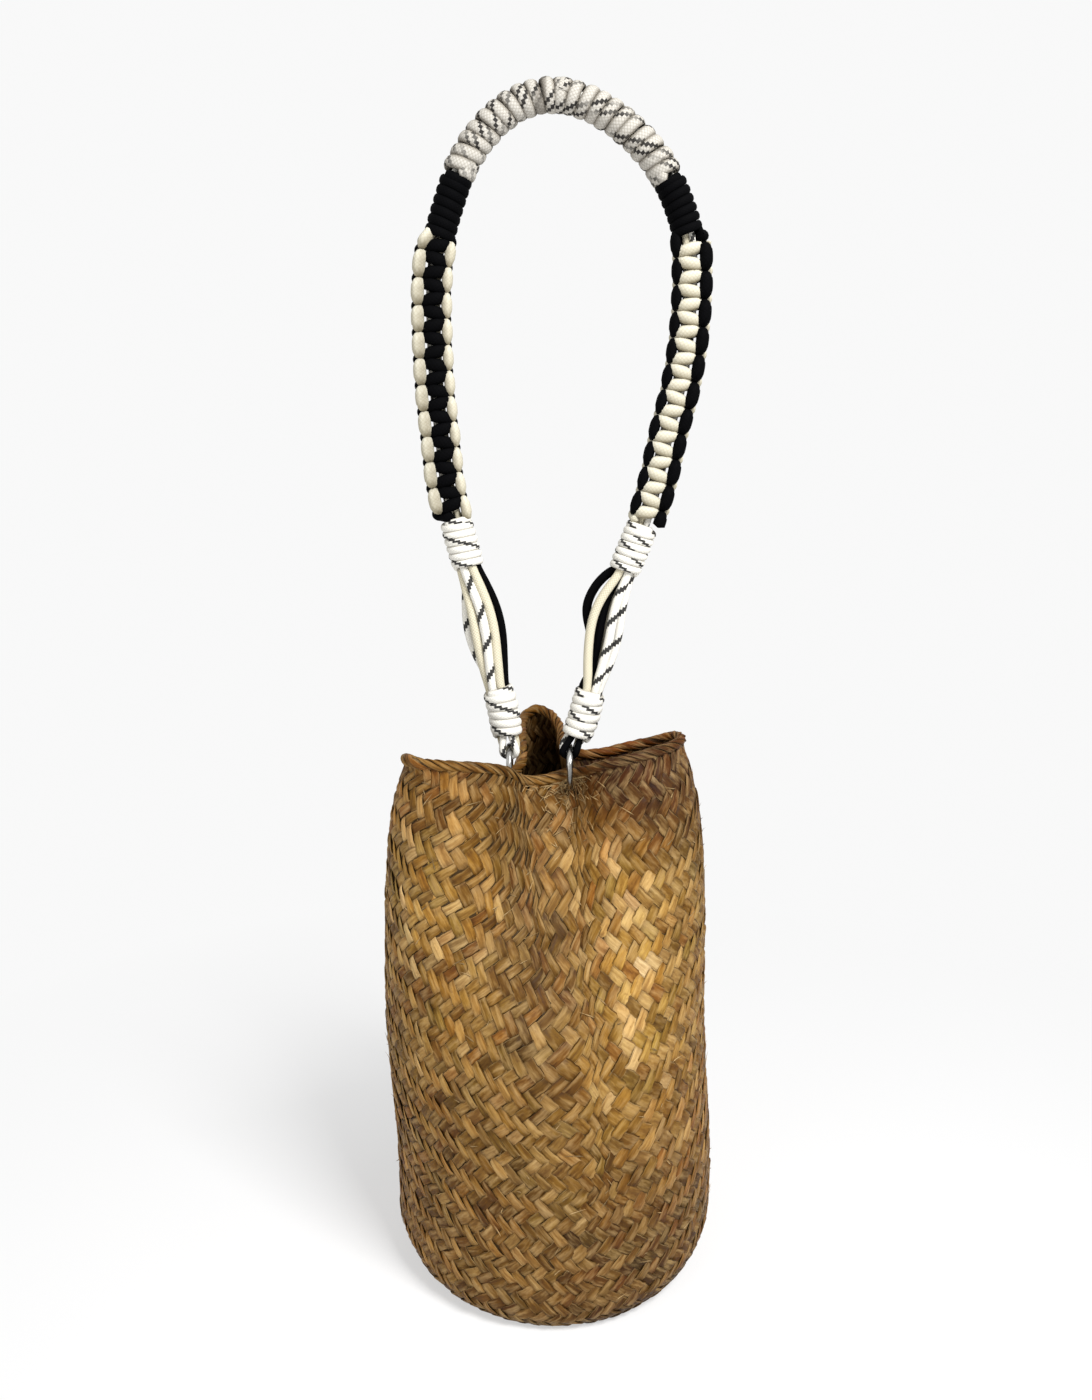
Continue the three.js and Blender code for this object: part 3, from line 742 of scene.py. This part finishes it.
def strip_fill(way, index, rel, climb):
    """A strip's width in cells. It keeps its real width where sagging rows come closer."""
    along_it = index + 0.5 + way * rel[None, :] / 2
    height = np.broadcast_to(np.abs(rel) / 2 * climb, along_it.shape)
    steepness = STEEP - way * row_slope(along_it / STRIPS, height)
    fill = np.maximum(STRIP_WIDTH * np.hypot(1, steepness) / climb, LEAST_FILL)
    return fill * (1 - LOOSER * smoothstep(*LOOSE_HEIGHTS, height))


def ripple(waves, share, height):
    """The sum of some slow waves at each place."""
    total = 0
    for size, count, turn, start in waves:
        total = total + size * np.sin(2 * math.pi * count * share + turn * height + start)
    return total


def strip_colours(way, points, swing, bright, own_hue, crowd):
    """Each point's colour: its strip's and float's, shaded at the edges, underneath and where it dips."""
    dip = DIP_SHADE + (1 - DIP_SHADE) * smoothstep(0.5, 1.0, np.abs(swing))
    shade = (bright * dip)[..., None] * np.where(AT_EDGE, EDGE_SHADE - CROWDED_SHADE * crowd, 1.0)
    shade = shade * np.where(UNDERNEATH, UNDER_SHADE, 1.0)
    warmth = 1 + own_hue[..., None, None] * WARMER
    colour = straw_tints(STRIPS)[:, None, None] * shade[..., None] ** SHADE_HUE * warmth
    bleached = np.clip((bright - 1) * BLEACHING, 0, MOST_BLEACHED)[..., None, None]
    slant = way * np.clip(points[..., 0] / BODY_RADIUS, -CATCHING_UP_TO, CATCHING_UP_TO)
    catching = 1 + CATCHING * slant * smoothstep(CATCHING_FADE, -CATCHING_FADE, points[..., 1])
    # Painted light and shade on the front, and each family paler or darker as it runs with the light
    return (colour + (PALE_STRAW - colour) * bleached) * painted_light_and_hue(points) * catching[..., None]


def weave(way):
    """One family of straw strips on the wall, which climb to the right (1) or to the left (-1)."""
    climb = CELL * STEEP
    rel, swing, floats = strip_run(way, climb)
    lift, roll, drift = (float_values(floats, 0, s) for s in LIE_SPREADS)
    bright = np.clip(float_values(floats, 1, BRIGHT_SPREAD), *BRIGHT_LIMITS)
    own_hue = float_values(floats, 0, HUE_SPREAD)
    index = np.arange(STRIPS)[:, None]
    width = strip_fill(way, index, rel, climb) * rng.uniform(*STRIP_WIDTHS, (STRIPS, 1))
    width = width * rng.normal(1, WIDTH_SPREAD, (STRIPS, len(rel)))
    own = index[..., None] + 0.5 + (SECTION[:, 0] * width[..., None] + drift[..., None])
    other = index[..., None] + rel[None, :, None]
    right, left = (other, own) if way > 0 else (own, other)
    share = (right + left) / 2 / STRIPS
    height = (right - left) / 2 * climb
    height = height + ripple(UNEVEN_HEIGHTS, share, height)
    share = share + ripple(UNEVEN_PLACES, share, height) / WEAVE_REACH
    height = height - sagging(share) * np.interp(height, SAG_FROM, SAG_DEEP)
    share, crowd = crowded(share, height)
    highest = wall_top(share) + STRIPS_UNDER_RIM
    trimmed = (height > highest).reshape(-1)
    height = np.minimum(height, highest)
    level = (swing[None, :, None] * WEAVE_SWING + lift[..., None] + SECTION[:, 1] * STRIP_THICK
             + SECTION[:, 0] * (roll[..., None] - SHINGLE * way) * ROLL_HEIGHT)
    points = wall_at(share, height) + wall_normal(share, height) * (level - WALL_THICK / 2)[..., None]
    quads, k, m = strip_faces(len(rel))
    uv = face_uv(rel * CELL * 0.7071, np.arange(SECTION_SIDES + 1) * STRAW_ACROSS, k, m)
    uv = uv[None] + rng.uniform(0, STRAW_STARTS, (STRIPS, 1, 1, 1))
    tint = opaque(strip_colours(way, points, swing, bright, own_hue, crowd))
    points = points.reshape(-1, 3)
    keep = clear_of_rings(points, quads) & ~trimmed[quads].all(axis=1)
    return points, quads[keep], uv.reshape(-1, 4, 2)[keep].reshape(-1, 2), tint.reshape(-1, 4)


def from_front(share):
    """The share of the way round, counted from the front's middle both ways."""
    return np.mod(share + 0.5, 1) - 0.5


def sagging(share):
    """How far down the rows hang, up to 1 at the front's middle."""
    aside = from_front(share) * WEAVE_REACH - SAG_AT
    return np.clip(1 - np.hypot(aside, SAG_ROUND) / SAG_REACH, 0, 1)


def row_slope(share, height, step=0.002):
    """How steeply the rows run down to the right."""
    change = sagging(share + step) - sagging(share - step)
    return change / (2 * step * WEAVE_REACH) * np.interp(height, SAG_FROM, SAG_DEEP)


def crowded(share, height):
    """The share moved towards each crease, and how strongly the strips are crowded there."""
    near = from_front(share)
    moved = 0
    crowd = 0
    for upper_share, lower_share, upper, lower, half, squeeze in CREASES:
        climb = np.clip((height - lower) / (upper - lower), 0, 1)
        away = (near - lower_share - (upper_share - lower_share) * climb) / half
        fading = smoothstep(lower - CREASE_FADE, lower + CREASE_FADE, height)
        moved = moved - squeeze * half * away * np.exp(-(away**2)) * fading
        crowd = crowd + np.exp(-(away**2)) * fading
    return share + moved, crowd


def clear_of_rings(points, quads, gap=0.5):
    """Faces that don't lie in the way of a ring's wire."""
    middle = points[quads].mean(axis=1)
    clear = np.ones(len(quads), bool)
    for ring_x in (LEFT_RING_X, RIGHT_RING_X):
        round_axis = np.hypot(middle[:, 1] - RING_AXIS_Y, middle[:, 2] - RING_AXIS_Z)
        clear &= np.hypot(round_axis - RING_RADIUS, middle[:, 0] - ring_x) > RING_WIRE / 2 + gap
    return clear


def backing(columns=256, half=0.08):
    """A thin layer between the strips, so that no light comes through the weave. Its dark colour is painted
    shade in the gaps.
    """
    shares = np.linspace(0, 1, columns, endpoint=False)
    # First round the corner, then up the wall
    heights = np.concatenate([np.linspace(-28, 24, 14), np.linspace(28, 246, 62)])
    share, height = np.meshgrid(shares, heights, indexing="xy")
    top = wall_top(share)
    height = np.minimum(height, top + UNDER_RIM)
    surface = wall_at(share, height)
    # Taken a little lower, because the wall ends where the backing does
    normal = wall_normal(share, np.minimum(height, top - 1.3))
    layers = [(surface - normal * (WALL_THICK / 2 + side * half)).reshape(-1, 3) for side in (-1, 1)]
    points = np.vstack(layers)
    outer, _, _ = grid_faces(len(heights), columns)
    quads = np.vstack([outer, outer[:, ::-1] + len(layers[0])])
    quads = quads[clear_of_rings(points, quads)]
    return points, quads, np.zeros((quads.size, 2)), even_tint(BACKING_SHADE, len(points))


def base_weave():
    """The flat woven base: straight strips both ways on a disc."""
    count = int(2 * BASE_RADIUS / BASE_PITCH)
    parts = []
    for way in (1, -1):
        for number in range(count):
            middle = (number - (count - 1) / 2) * BASE_PITCH
            half = math.sqrt(max(BASE_RADIUS**2 - middle**2, 1))
            t = np.arange(-half, half, BASE_PITCH / PER_CELL)
            side = way * over_under(np.floor(t / BASE_PITCH).astype(int) + number)
            level = softened(side, 0.25) * BASE_SWING
            path = np.stack([np.full_like(t, middle), t, WALL_THICK / 2 - level], axis=-1)
            if way < 0:
                path = path[:, [1, 0, 2]]
            down = np.tile([0.0, 0.0, -1.0], (len(t), 1))
            start = rng.uniform(0, STRAW_STARTS)
            colour = straw_tints(1)[0] * 0.9
            parts.append(tube(path, down, *BASE_STRIP, SECTION_SIDES, start, colour))
    return join_parts(parts)


UPWARD = np.array([0.0, 0.0, 1.0])


def rim():
    """Folded strips laid over the edge one after another, each slanting down to the right outside."""
    pitch = mouth_length / RIM_STRIPS
    return join_parts([rim_core()] + [rim_strip(k, pitch) for k in range(RIM_STRIPS)])


def rim_strip(number, pitch):
    turn = np.linspace(*RIM_FOLD, 22)
    middle = (number + 0.12 * rng.normal()) * pitch + turn * RIM_SLANT
    wide = pitch * rng.uniform(1.15, 1.4)
    # One edge lies over the next strip
    rise = rng.uniform(0.25, 0.5)
    lines = []
    for across, thick in SECTION:
        share = (middle + across * wide * 0.8) / mouth_length
        centre = mouth_at(share) - UPWARD * RIM_TALL / 2
        reach = thick * 0.6 - across * rise * 1.7 + 0.15
        out = (np.where(np.sin(turn) > 0, RIM_OUTSIDE, RIM_INSIDE) + reach) * np.sin(turn)
        up = (RIM_TALL / 2 + reach - 0.9) * np.cos(turn)
        lines.append(centre + mouth_outward(share, 0.009) * out[:, None] + UPWARD * up[:, None])
    points = np.stack(lines, axis=1).reshape(-1, 3)
    quads, k, m = grid_faces(len(turn), SECTION_SIDES)
    along = turn * 3.4 + rng.uniform(0, STRAW_STARTS)
    uv = face_uv(along, np.arange(SECTION_SIDES + 1) * STRAW_ACROSS, k, m).reshape(-1, 2)
    # Painted shade darkens each strip's edges, and the front's painted light and shade falls on the rim as
    # on the wall
    edges = np.tile(np.where(AT_EDGE, 0.5, 1.0), len(turn))
    return points, quads, uv, opaque(straw_tints(1)[0] * painted_light_and_hue(points) * edges[:, None])


def rim_core():
    """The hidden filling that the rim's strips are folded over."""
    share = np.linspace(0, 1, 400)
    path = mouth_at(share) - UPWARD * RIM_TALL / 2
    return tube(path, np.tile(UPWARD, (len(share), 1)), *RIM_CORE, 8, colour=RIM_CORE_TINT)


def hair(at_fold):
    """A frayed fibre that stands off the strips anywhere, or along the front fold's rim."""
    share = rng.normal(0.0, 0.022) if at_fold else rng.uniform(0, 1)
    top = mouth_at(share)[2]
    height = top - abs(rng.normal(0, 12)) - 2 if at_fold else rng.uniform(12, top - 8)
    t = np.linspace(0, 1, 5)
    length = rng.uniform(2.5, 7.5)
    way = rng.choice([-1, 1]) * rng.uniform(0.3, 1.0)
    shares = share + way * length * t / WEAVE_REACH
    heights = np.minimum(height + length * (1.2 - abs(way)) * t, top - RIM_TALL)
    lift = 1.0 + rng.uniform(0.4, 1.5) * t**2
    normal = wall_normal(shares, heights)
    path = wall_at(shares, heights) + normal * (lift - WALL_THICK / 2)[:, None]
    thin = 1.2 - t
    colour = PALE_STRAW * rng.uniform(0.4, 1.2)
    return tube(path, normal, 0.14 * thin, 0.26 * thin, 4, colour=colour)


# Strap line
strap_line = smooth_line([(x, RING_AXIS_Y, RING_AXIS_Z + h) for x, h in ROUTE], False)
strap_length = strap_line[1][-1]
NEAR = np.array([0.0, -1.0, 0.0])


def beside(along, out, near, reach=0.4):
    """A point off the strap's line at a length along it: out from its loop, and nearer to the front."""
    along = np.asarray(along)
    tangent = unit(at_length(strap_line, along + reach) - at_length(strap_line, along - reach))
    outward = unit(np.cross(NEAR, tangent))
    aside = outward * np.asarray(out)[..., None] + NEAR * np.asarray(near)[..., None]
    return at_length(strap_line, along) + aside


def around_strap(along, out, near, thick, wide, sides=10):
    """A cord beside the strap's line that stays flat to it."""
    path = beside(along, out, near)
    up = path - beside(along, 0 * out, 0 * near)
    return tube(path, up, thick, wide, sides)


def after(stretch, gap, length):
    """The stretch that follows another one, both as their start along the strap and their length."""
    return stretch[0] + stretch[1] + gap, length


def before(stretch, gap, length):
    return stretch[0] - gap - length, length


left_lower = after((0, 0), RING_TO_WHIPPING, LOWER_LENGTH)
left_upper = after(left_lower, LOOSE_LENGTH, UPPER_LENGTH)
left_braid = after(left_upper, CLEARANCE, LEFT_BRAID_LENGTH)
left_black = after(left_braid, CLEARANCE, BLACK_LENGTH)
left_black_shown = (left_black[0] - BLACK_OVER_BRAID, left_black[1] + BLACK_OVER_BRAID)
right_lower = before((strap_length, 0), RING_TO_WHIPPING, LOWER_LENGTH)
right_upper = before(right_lower, LOOSE_LENGTH, UPPER_LENGTH)
right_braid = before(right_upper, CLEARANCE, RIGHT_BRAID_LENGTH)
right_black = before(right_braid, CLEARANCE, BLACK_LENGTH)
top_start = left_black[0] + BLACK_LENGTH + CLEARANCE
top_stretch = (top_start, right_black[0] - CLEARANCE - top_start)


def wound(along, size, angle, thick, wide):
    return around_strap(along, size * np.cos(angle), size * np.sin(angle), thick / 2, wide / 2 * 1.02)


def winding(stretch, wrap, hand, barrel=0.0, reach=0.0):
    """A cord wound tight round the strap. Its end turns lie level and may draw in."""
    radius, thick, turns = wrap
    start, length = stretch[0] - reach, stretch[1] + 2 * reach
    t = np.linspace(0, turns, turns * WINDING_STATIONS + 1)
    wide = length / (turns - TURN_OVERLAP)
    along = start + wide / 2 + (length - wide) * np.clip((t - 0.5) / (turns - 1), 0, 1)
    from_end = np.minimum(t, turns - t)
    size = radius - barrel * np.exp(-from_end * 1.6)
    return wound(along, size, hand * 2 * math.pi * t + 0.6, thick, wide)


def top_winding():
    """The top wrap: wound up from both sides, with one level turn where they meet at the top."""
    radius, thick, turns = TOP_WRAP
    start, length = top_stretch[0] - 0.6, top_stretch[1] + 1.2
    half = turns / 2
    t = np.linspace(-half - 0.5, half + 0.5, turns * WINDING_STATIONS + 1)
    wide = length / (turns - TURN_OVERLAP)
    slack = 0.5
    climb = np.sign(t) * np.clip((np.abs(t) - slack) / (half - slack), 0, 1)
    uneven = 0.05 * np.sin(2.7 * t) + 0.04 * np.sin(6.1 * t + 1)
    along = start + length / 2 + (length - wide) / 2 * climb + wide * uneven
    wound_up = np.where(t < -slack, t + slack, np.where(t > slack, slack - t, 0))
    angle = -math.pi / 2 + 2 * math.pi * wound_up + 2 * math.pi * np.clip(t, -slack, slack)
    size = radius + 0.12 * np.sin(3.3 * t)
    points, quads, uv, tint = wound(along, size, angle, thick, wide)
    # The fleck line runs up the middle of the near side on both halves
    uv[uv[:, 0] > (uv[:, 0].min() + uv[:, 0].max()) / 2, 0] += TOP_WRAP_FLECK_PITCH / 2
    return points, quads, uv, tint


def squared(wave, sharp):
    """A wave with its crests made flat and its crossings steep."""
    return np.tanh(sharp * wave) / math.tanh(sharp)


def front_knot_cord(start, pitch, knots, begin):
    """The working cord that crosses the front twice in a knot."""
    t = np.linspace(begin, knots - 0.04, knots * KNOT_STATIONS)
    out = FRONT_ASIDE * squared(np.sin(2 * math.pi * t), 1.5)
    out = out * (1 - 0.24 * smoothstep(0, -4, out))
    middle = 1 - smoothstep(1.4, 6.0, np.abs(out))
    along = start + pitch * (t + 0.02 + 0.025 * np.sin(4 * math.pi * t))
    near = 0.3 + FRONT_LIFT * middle
    return around_strap(along, out - 0.6 * middle, near, 1.9, 1.7 + 0.88 * middle, 12)


def back_knot_cord(start, pitch, knots, begin, tucked):
    """The working cord that crosses the back and bulges at each side of the front."""
    t = np.linspace(begin, knots - 0.45, knots * KNOT_STATIONS)
    wave = np.cos(2 * math.pi * t)
    bulge = smoothstep(0.35, 0.95, np.abs(wave))
    crossing = 1 - smoothstep(0.0, 0.6, np.abs(wave))
    out = -BACK_ASIDE * squared(wave, 1.6)
    inner = smoothstep(1, -4, out)
    # The last bulge draws in under the wrap above it
    tuck = tucked * smoothstep(knots - 0.62, knots - 0.45, t)
    out = out * (1 - 0.06 * inner) * (1 - 0.5 * tuck)
    near = -BACK_DEPTH + (8.9 - 1.2 * inner) * bulge - 1.8 * tuck
    along = start + pitch * (t + 0.29 + 0.2 * np.sin(4 * math.pi * t)) + 0.12 * pitch * tuck
    thick = 1.85 + (0.75 - 0.6 * inner) * bulge
    return around_strap(along, out, near, thick, 1.9 + 0.8 * bulge + 0.6 * crossing, 12)


def knot_cords(stretch, front_from, back_from, tucked):
    """The front and the back working cord of a row of square knots."""
    start, length = stretch
    knots = round(length / KNOT_LENGTH)
    pitch = length / knots
    front = front_knot_cord(start, pitch, knots, front_from)
    return front, back_knot_cord(start, pitch, knots, back_from, tucked)


def spread_at(along, loose_start, skew=1.0):
    """How far the cords spread between the whippings: 0 at both ends of the loose stretch."""
    share = np.clip((along - loose_start) / LOOSE_LENGTH, 0, 1)
    return np.sin(math.pi * share**skew) ** 1.3


def bundle_cord(key, begin, end, steps, core_turn=None):
    """A cord of the bundle between two lengths along the strap. A core cord draws in within the braids."""
    along = np.linspace(begin, end, steps)
    on_right = along > strap_length / 2
    angle, spread_out, spread_near = (np.where(on_right, b, a) for a, b in zip(*BUNDLE[key]))
    tied_out = BUNDLE_CIRCLE * np.cos(np.radians(angle))
    tied_near = BUNDLE_CIRCLE * np.sin(np.radians(angle))
    left_loose, right_loose = sum(left_lower), sum(right_upper)
    skew = 0.65 if key == "inner" else 1.0
    loose = spread_at(along, left_loose) + spread_at(along, right_loose, skew)
    out = tied_out + (spread_out - tied_out) * loose
    near = tied_near + (spread_near - tied_near) * loose
    if key == "inner":
        # The right one hangs low and swings back towards the lower whipping
        down = (along - right_loose) / LOOSE_LENGTH
        out = out + 3.8 * smoothstep(0.3, 0.65, down) * smoothstep(1.0, 0.8, down)
    radius = TIED_RADIUS + (CORD_RADIUS - TIED_RADIUS) * np.clip(loose * 3, 0, 1)
    if core_turn is not None:
        turn = math.radians(core_turn)
        inside = (smoothstep(left_braid[0] - GATHER_LENGTH, left_braid[0], along)
                  - smoothstep(right_upper[0], right_upper[0] + GATHER_LENGTH, along))
        out = out + (CORE_CIRCLE * math.cos(turn) - out) * inside
        near = near + (CORE_CIRCLE * math.sin(turn) - near) * inside
        radius = radius + (CORE_RADIUS - radius) * inside
    path = beside(along, out, near)
    return tube(path, np.tile(NEAR, (steps, 1)), radius, radius, 12, rng.uniform(0, CORD_STARTS))


# The bights turn under the wire side by side, tilted apart by their own thickness
bight_turn = RING_WIRE / 2 + 1.4 + CLEARANCE
bight_tilt = 2 * math.asin((2.8 + CLEARANCE) / 2 / (RING_RADIUS - bight_turn))
cord_end = RING_TO_WHIPPING + BIGHT_LEG + CLEARANCE


def ring_bight(place, ring_x, ring_along, way, stations=60):
    """A cord's turn under the ring's wire, with both legs up in the lower whipping."""
    tilt = place * bight_tilt
    leg_angle = 0 if place == 0 else math.pi / 3
    leg_out = LEG_CIRCLE * math.cos(leg_angle)
    leg_near = place * LEG_CIRCLE * math.sin(leg_angle)
    legs = [ring_along + way * (RING_TO_WHIPPING + up) for up in (BIGHT_LEG, BIGHT_LEG / 5)]
    points = [beside(leg, way * leg_out, leg_near) for leg in legs]
    for turn in (-1, -0.5, 0, 0.5, 1):
        aside = bight_turn * math.sin(math.pi / 2 * turn)
        reach = RING_RADIUS - bight_turn * math.cos(math.pi / 2 * turn)
        y = RING_AXIS_Y - reach * math.sin(tilt)
        points.append(np.array([ring_x + aside, y, RING_AXIS_Z + reach * math.cos(tilt)]))
    points += [beside(leg, -way * leg_out, leg_near) for leg in legs[::-1]]
    line = smooth_line(points, False, 20)
    path = at_length(line, np.linspace(0, line[1][-1], stations))
    up = np.tile(NEAR, (stations, 1))
    return tube(path, up, BIGHT_RADIUS, BIGHT_RADIUS, 12, rng.uniform(0, CORD_STARTS))


def ring(ring_x, stations=97, sides=20):
    """A closed steel ring round the axis through both rings."""
    turn = np.linspace(0, 2 * math.pi, stations)
    path = np.stack([np.full_like(turn, ring_x), RING_AXIS_Y + RING_RADIUS * np.cos(turn),
                     RING_AXIS_Z + RING_RADIUS * np.sin(turn)], axis=-1)[:-1]
    outward = unit(path - np.array([ring_x, RING_AXIS_Y, RING_AXIS_Z]))
    angle = 2 * math.pi * np.arange(sides) / sides
    points = (path[:, None] + outward[:, None] * (RING_WIRE / 2 * np.cos(angle))[None, :, None]
              + np.array([1.0, 0, 0]) * (RING_WIRE / 2 * np.sin(angle))[None, :, None]).reshape(-1, 3)
    quads, k, m = grid_faces(stations, sides)
    uv = face_uv(np.arange(stations) * 0.6, np.arange(sides + 1) / sides, k, m)
    # The last station is the first again
    return points, quads % len(points), uv.reshape(-1, 2), None


# Camera at the photograph's viewing angle
camera = link("camera", bpy.data.cameras.new("camera"))
camera.location = (-0.0039, -0.550, 0.377)
camera.rotation_euler = (math.radians(77.75), 0, 0)
camera.data.sensor_fit = "VERTICAL"
camera.data.sensor_height = 24.0
camera.data.lens = 22.35
camera.data.clip_start = 0.01
scene.camera = camera

# Basket and rings
add_piece("straw_rising", weave(1), STRAW, "basket", "straw", "woven_body")
add_piece("straw_falling", weave(-1), STRAW, "basket", "straw")
add_piece("straw_backing", backing(), STRAW, "basket", "straw")
add_piece("straw_base", base_weave(), STRAW, "basket", "straw")
hairs = [hair(number >= HAIRS) for number in range(HAIRS + HAIRS_AT_FOLD)]
add_piece("straw_hairs", join_parts(hairs), STRAW, "basket", "straw")
add_piece("straw_rim", rim(), RIM_STRAW, "basket", "straw_rim", "plaited_rim")
add_piece("left_steel_ring", ring(LEFT_RING_X), STEEL, "left_ring", "steel", "left_ring")
add_piece("right_steel_ring", ring(RIGHT_RING_X), STEEL, "right_ring", "steel", "right_ring")

# Wound cords
strap_piece("top_wrap_cord", top_winding(), "flecked", "top_wrap", TOP_WRAP_WHITE)
for side, upper, lower, black, hand in (("left", left_upper, left_lower, left_black_shown, -1),
                                        ("right", right_upper, right_lower, right_black, 1)):
    for place, stretch, wrap in (("upper", upper, UPPER_WHIPPING), ("lower", lower, LOWER_WHIPPING)):
        whipping = winding(stretch, wrap, hand, barrel=0.7)
        node = f"{side}_{place}_whipping"
        strap_piece(f"{node}_cord", whipping, "flecked", node, WOUND_WHITE)
    black_winding = winding(black, BLACK_WRAP, hand, reach=0.9)
    strap_piece(f"{side}_black_wrap_cord", black_winding, "black", f"{side}_black_wrap")

# Square-knot braids
black_front, cream_back = knot_cords(left_braid, front_from=0.0, back_from=-0.22, tucked=1.0)
cream_front, black_back = knot_cords(right_braid, front_from=0.24, back_from=-0.42, tucked=0.0)
strap_piece("left_knots_black", black_front, "black", "left_braid_black")
strap_piece("left_knots_cream", cream_back, "cream", "left_braid_cream", KNOTTED_CREAM)
strap_piece("right_knots_cream", cream_front, "cream", "right_braid_cream", KNOTTED_CREAM)
strap_piece("right_knots_black", black_back, "black", "right_braid_black")

# Core cords from ring to ring: cord, number, place in the bundle and in the core
core_to = strap_length - cord_end
for cord, number, key, turn in (("flecked", "_1", "far_outer", 315), ("flecked", "_2", "near_outer", 45),
                                ("cream", "", "near_inner", 135), ("black", "", "far_inner", 225)):
    core = bundle_cord(key, cord_end, core_to, 320, turn)
    strap_piece(f"core_{cord}{number}", core, cord, f"core_cord_{cord}{number}")

# Loose strands: the ends of the working cords
left_end = left_braid[0] - GATHER_LENGTH
right_begin = right_upper[0] + GATHER_LENGTH
for key, cord in (("outer", "cream"), ("inner", "black")):
    for side, begin, end in (("left", cord_end, left_end), ("right", right_begin, core_to)):
        strand = bundle_cord(key, begin, end, 70)
        strap_piece(f"{side}_loose_{cord}", strand, cord, f"{side}_strand_{cord}")

# Bights round the rings: how far the flecked, the cream and the black one is tilted to the front
for side, ring_x, ring_along, way, places in (("left", LEFT_RING_X, 0.0, 1, (1, 0, -1)),
                                              ("right", RIGHT_RING_X, strap_length, -1, (0, -1, 1))):
    for cord, place in zip(CORDS, places):
        bight = ring_bight(place, ring_x, ring_along, way)
        strap_piece(f"{side}_loop_{cord}", bight, cord, f"{side}_bight_{cord}")


# Floor, backdrop and light
def grey(level):
    return (level, level, level, 1)


def floor():
    """Pale paper that takes the shadow near the object and is as bright as the background further away."""
    mesh = bpy.data.meshes.new("floor")
    mesh.from_pydata([(-6, -6, 0), (6, -6, 0), (6, 6, 0), (-6, 6, 0)], [], [(0, 1, 2, 3)])
    n = new_material("floor_paper")
    place = n.place()
    n.cover(n.mix(n.noise(place, 400.0), grey(0.92), grey(0.94)), 0.9, 0.0)
    distance = n.add("ShaderNodeVectorMath", {0: place}, "Value", operation="LENGTH")
    white = n.add("ShaderNodeEmission", {"Color": grey(BACKDROP)}, 0)
    share = n.times(n.showing_background(), n.range(distance, 0.1, 0.45, 0.55, 1.0))
    mixed = n.mix_shaders(share, n.surface.outputs[0], white)
    n.feed(n.tree.nodes["Material Output"], {"Surface": mixed})
    piece = link("floor", mesh)
    piece.data.materials.append(n.owner)


def lamp(name, place, target, size, power):
    light = bpy.data.lights.new(name, "AREA")
    light.size = size
    light.energy = power
    piece = link(name, light)
    piece.location = place
    piece.rotation_euler = (Vector(target) - Vector(place)).to_track_quat("-Z", "Y").to_euler()


def world():
    """Even light from all round, behind which the background shows in its own brightness."""
    sky = bpy.data.worlds.new("studio")
    scene.world = sky
    n = Nodes(sky)
    light = n.tree.nodes["Background"]
    n.feed(light, {"Color": grey(1), "Strength": SKY_LIGHT})
    seen = n.add("ShaderNodeBackground", {"Color": grey(BACKDROP), "Strength": 1.0}, 0)
    mixed = n.mix_shaders(n.showing_background(), light.outputs[0], seen)
    n.feed(n.tree.nodes["World Output"], {"Surface": mixed})


floor()
world()
lamp("key", (0.5, -0.8, 1.2), (0, 0, 0.2), size=0.5, power=26)
lamp("fill", (-1.0, -0.9, 0.7), (0, 0, 0.22), size=1.1, power=5)
scene.view_settings.view_transform = "Standard"
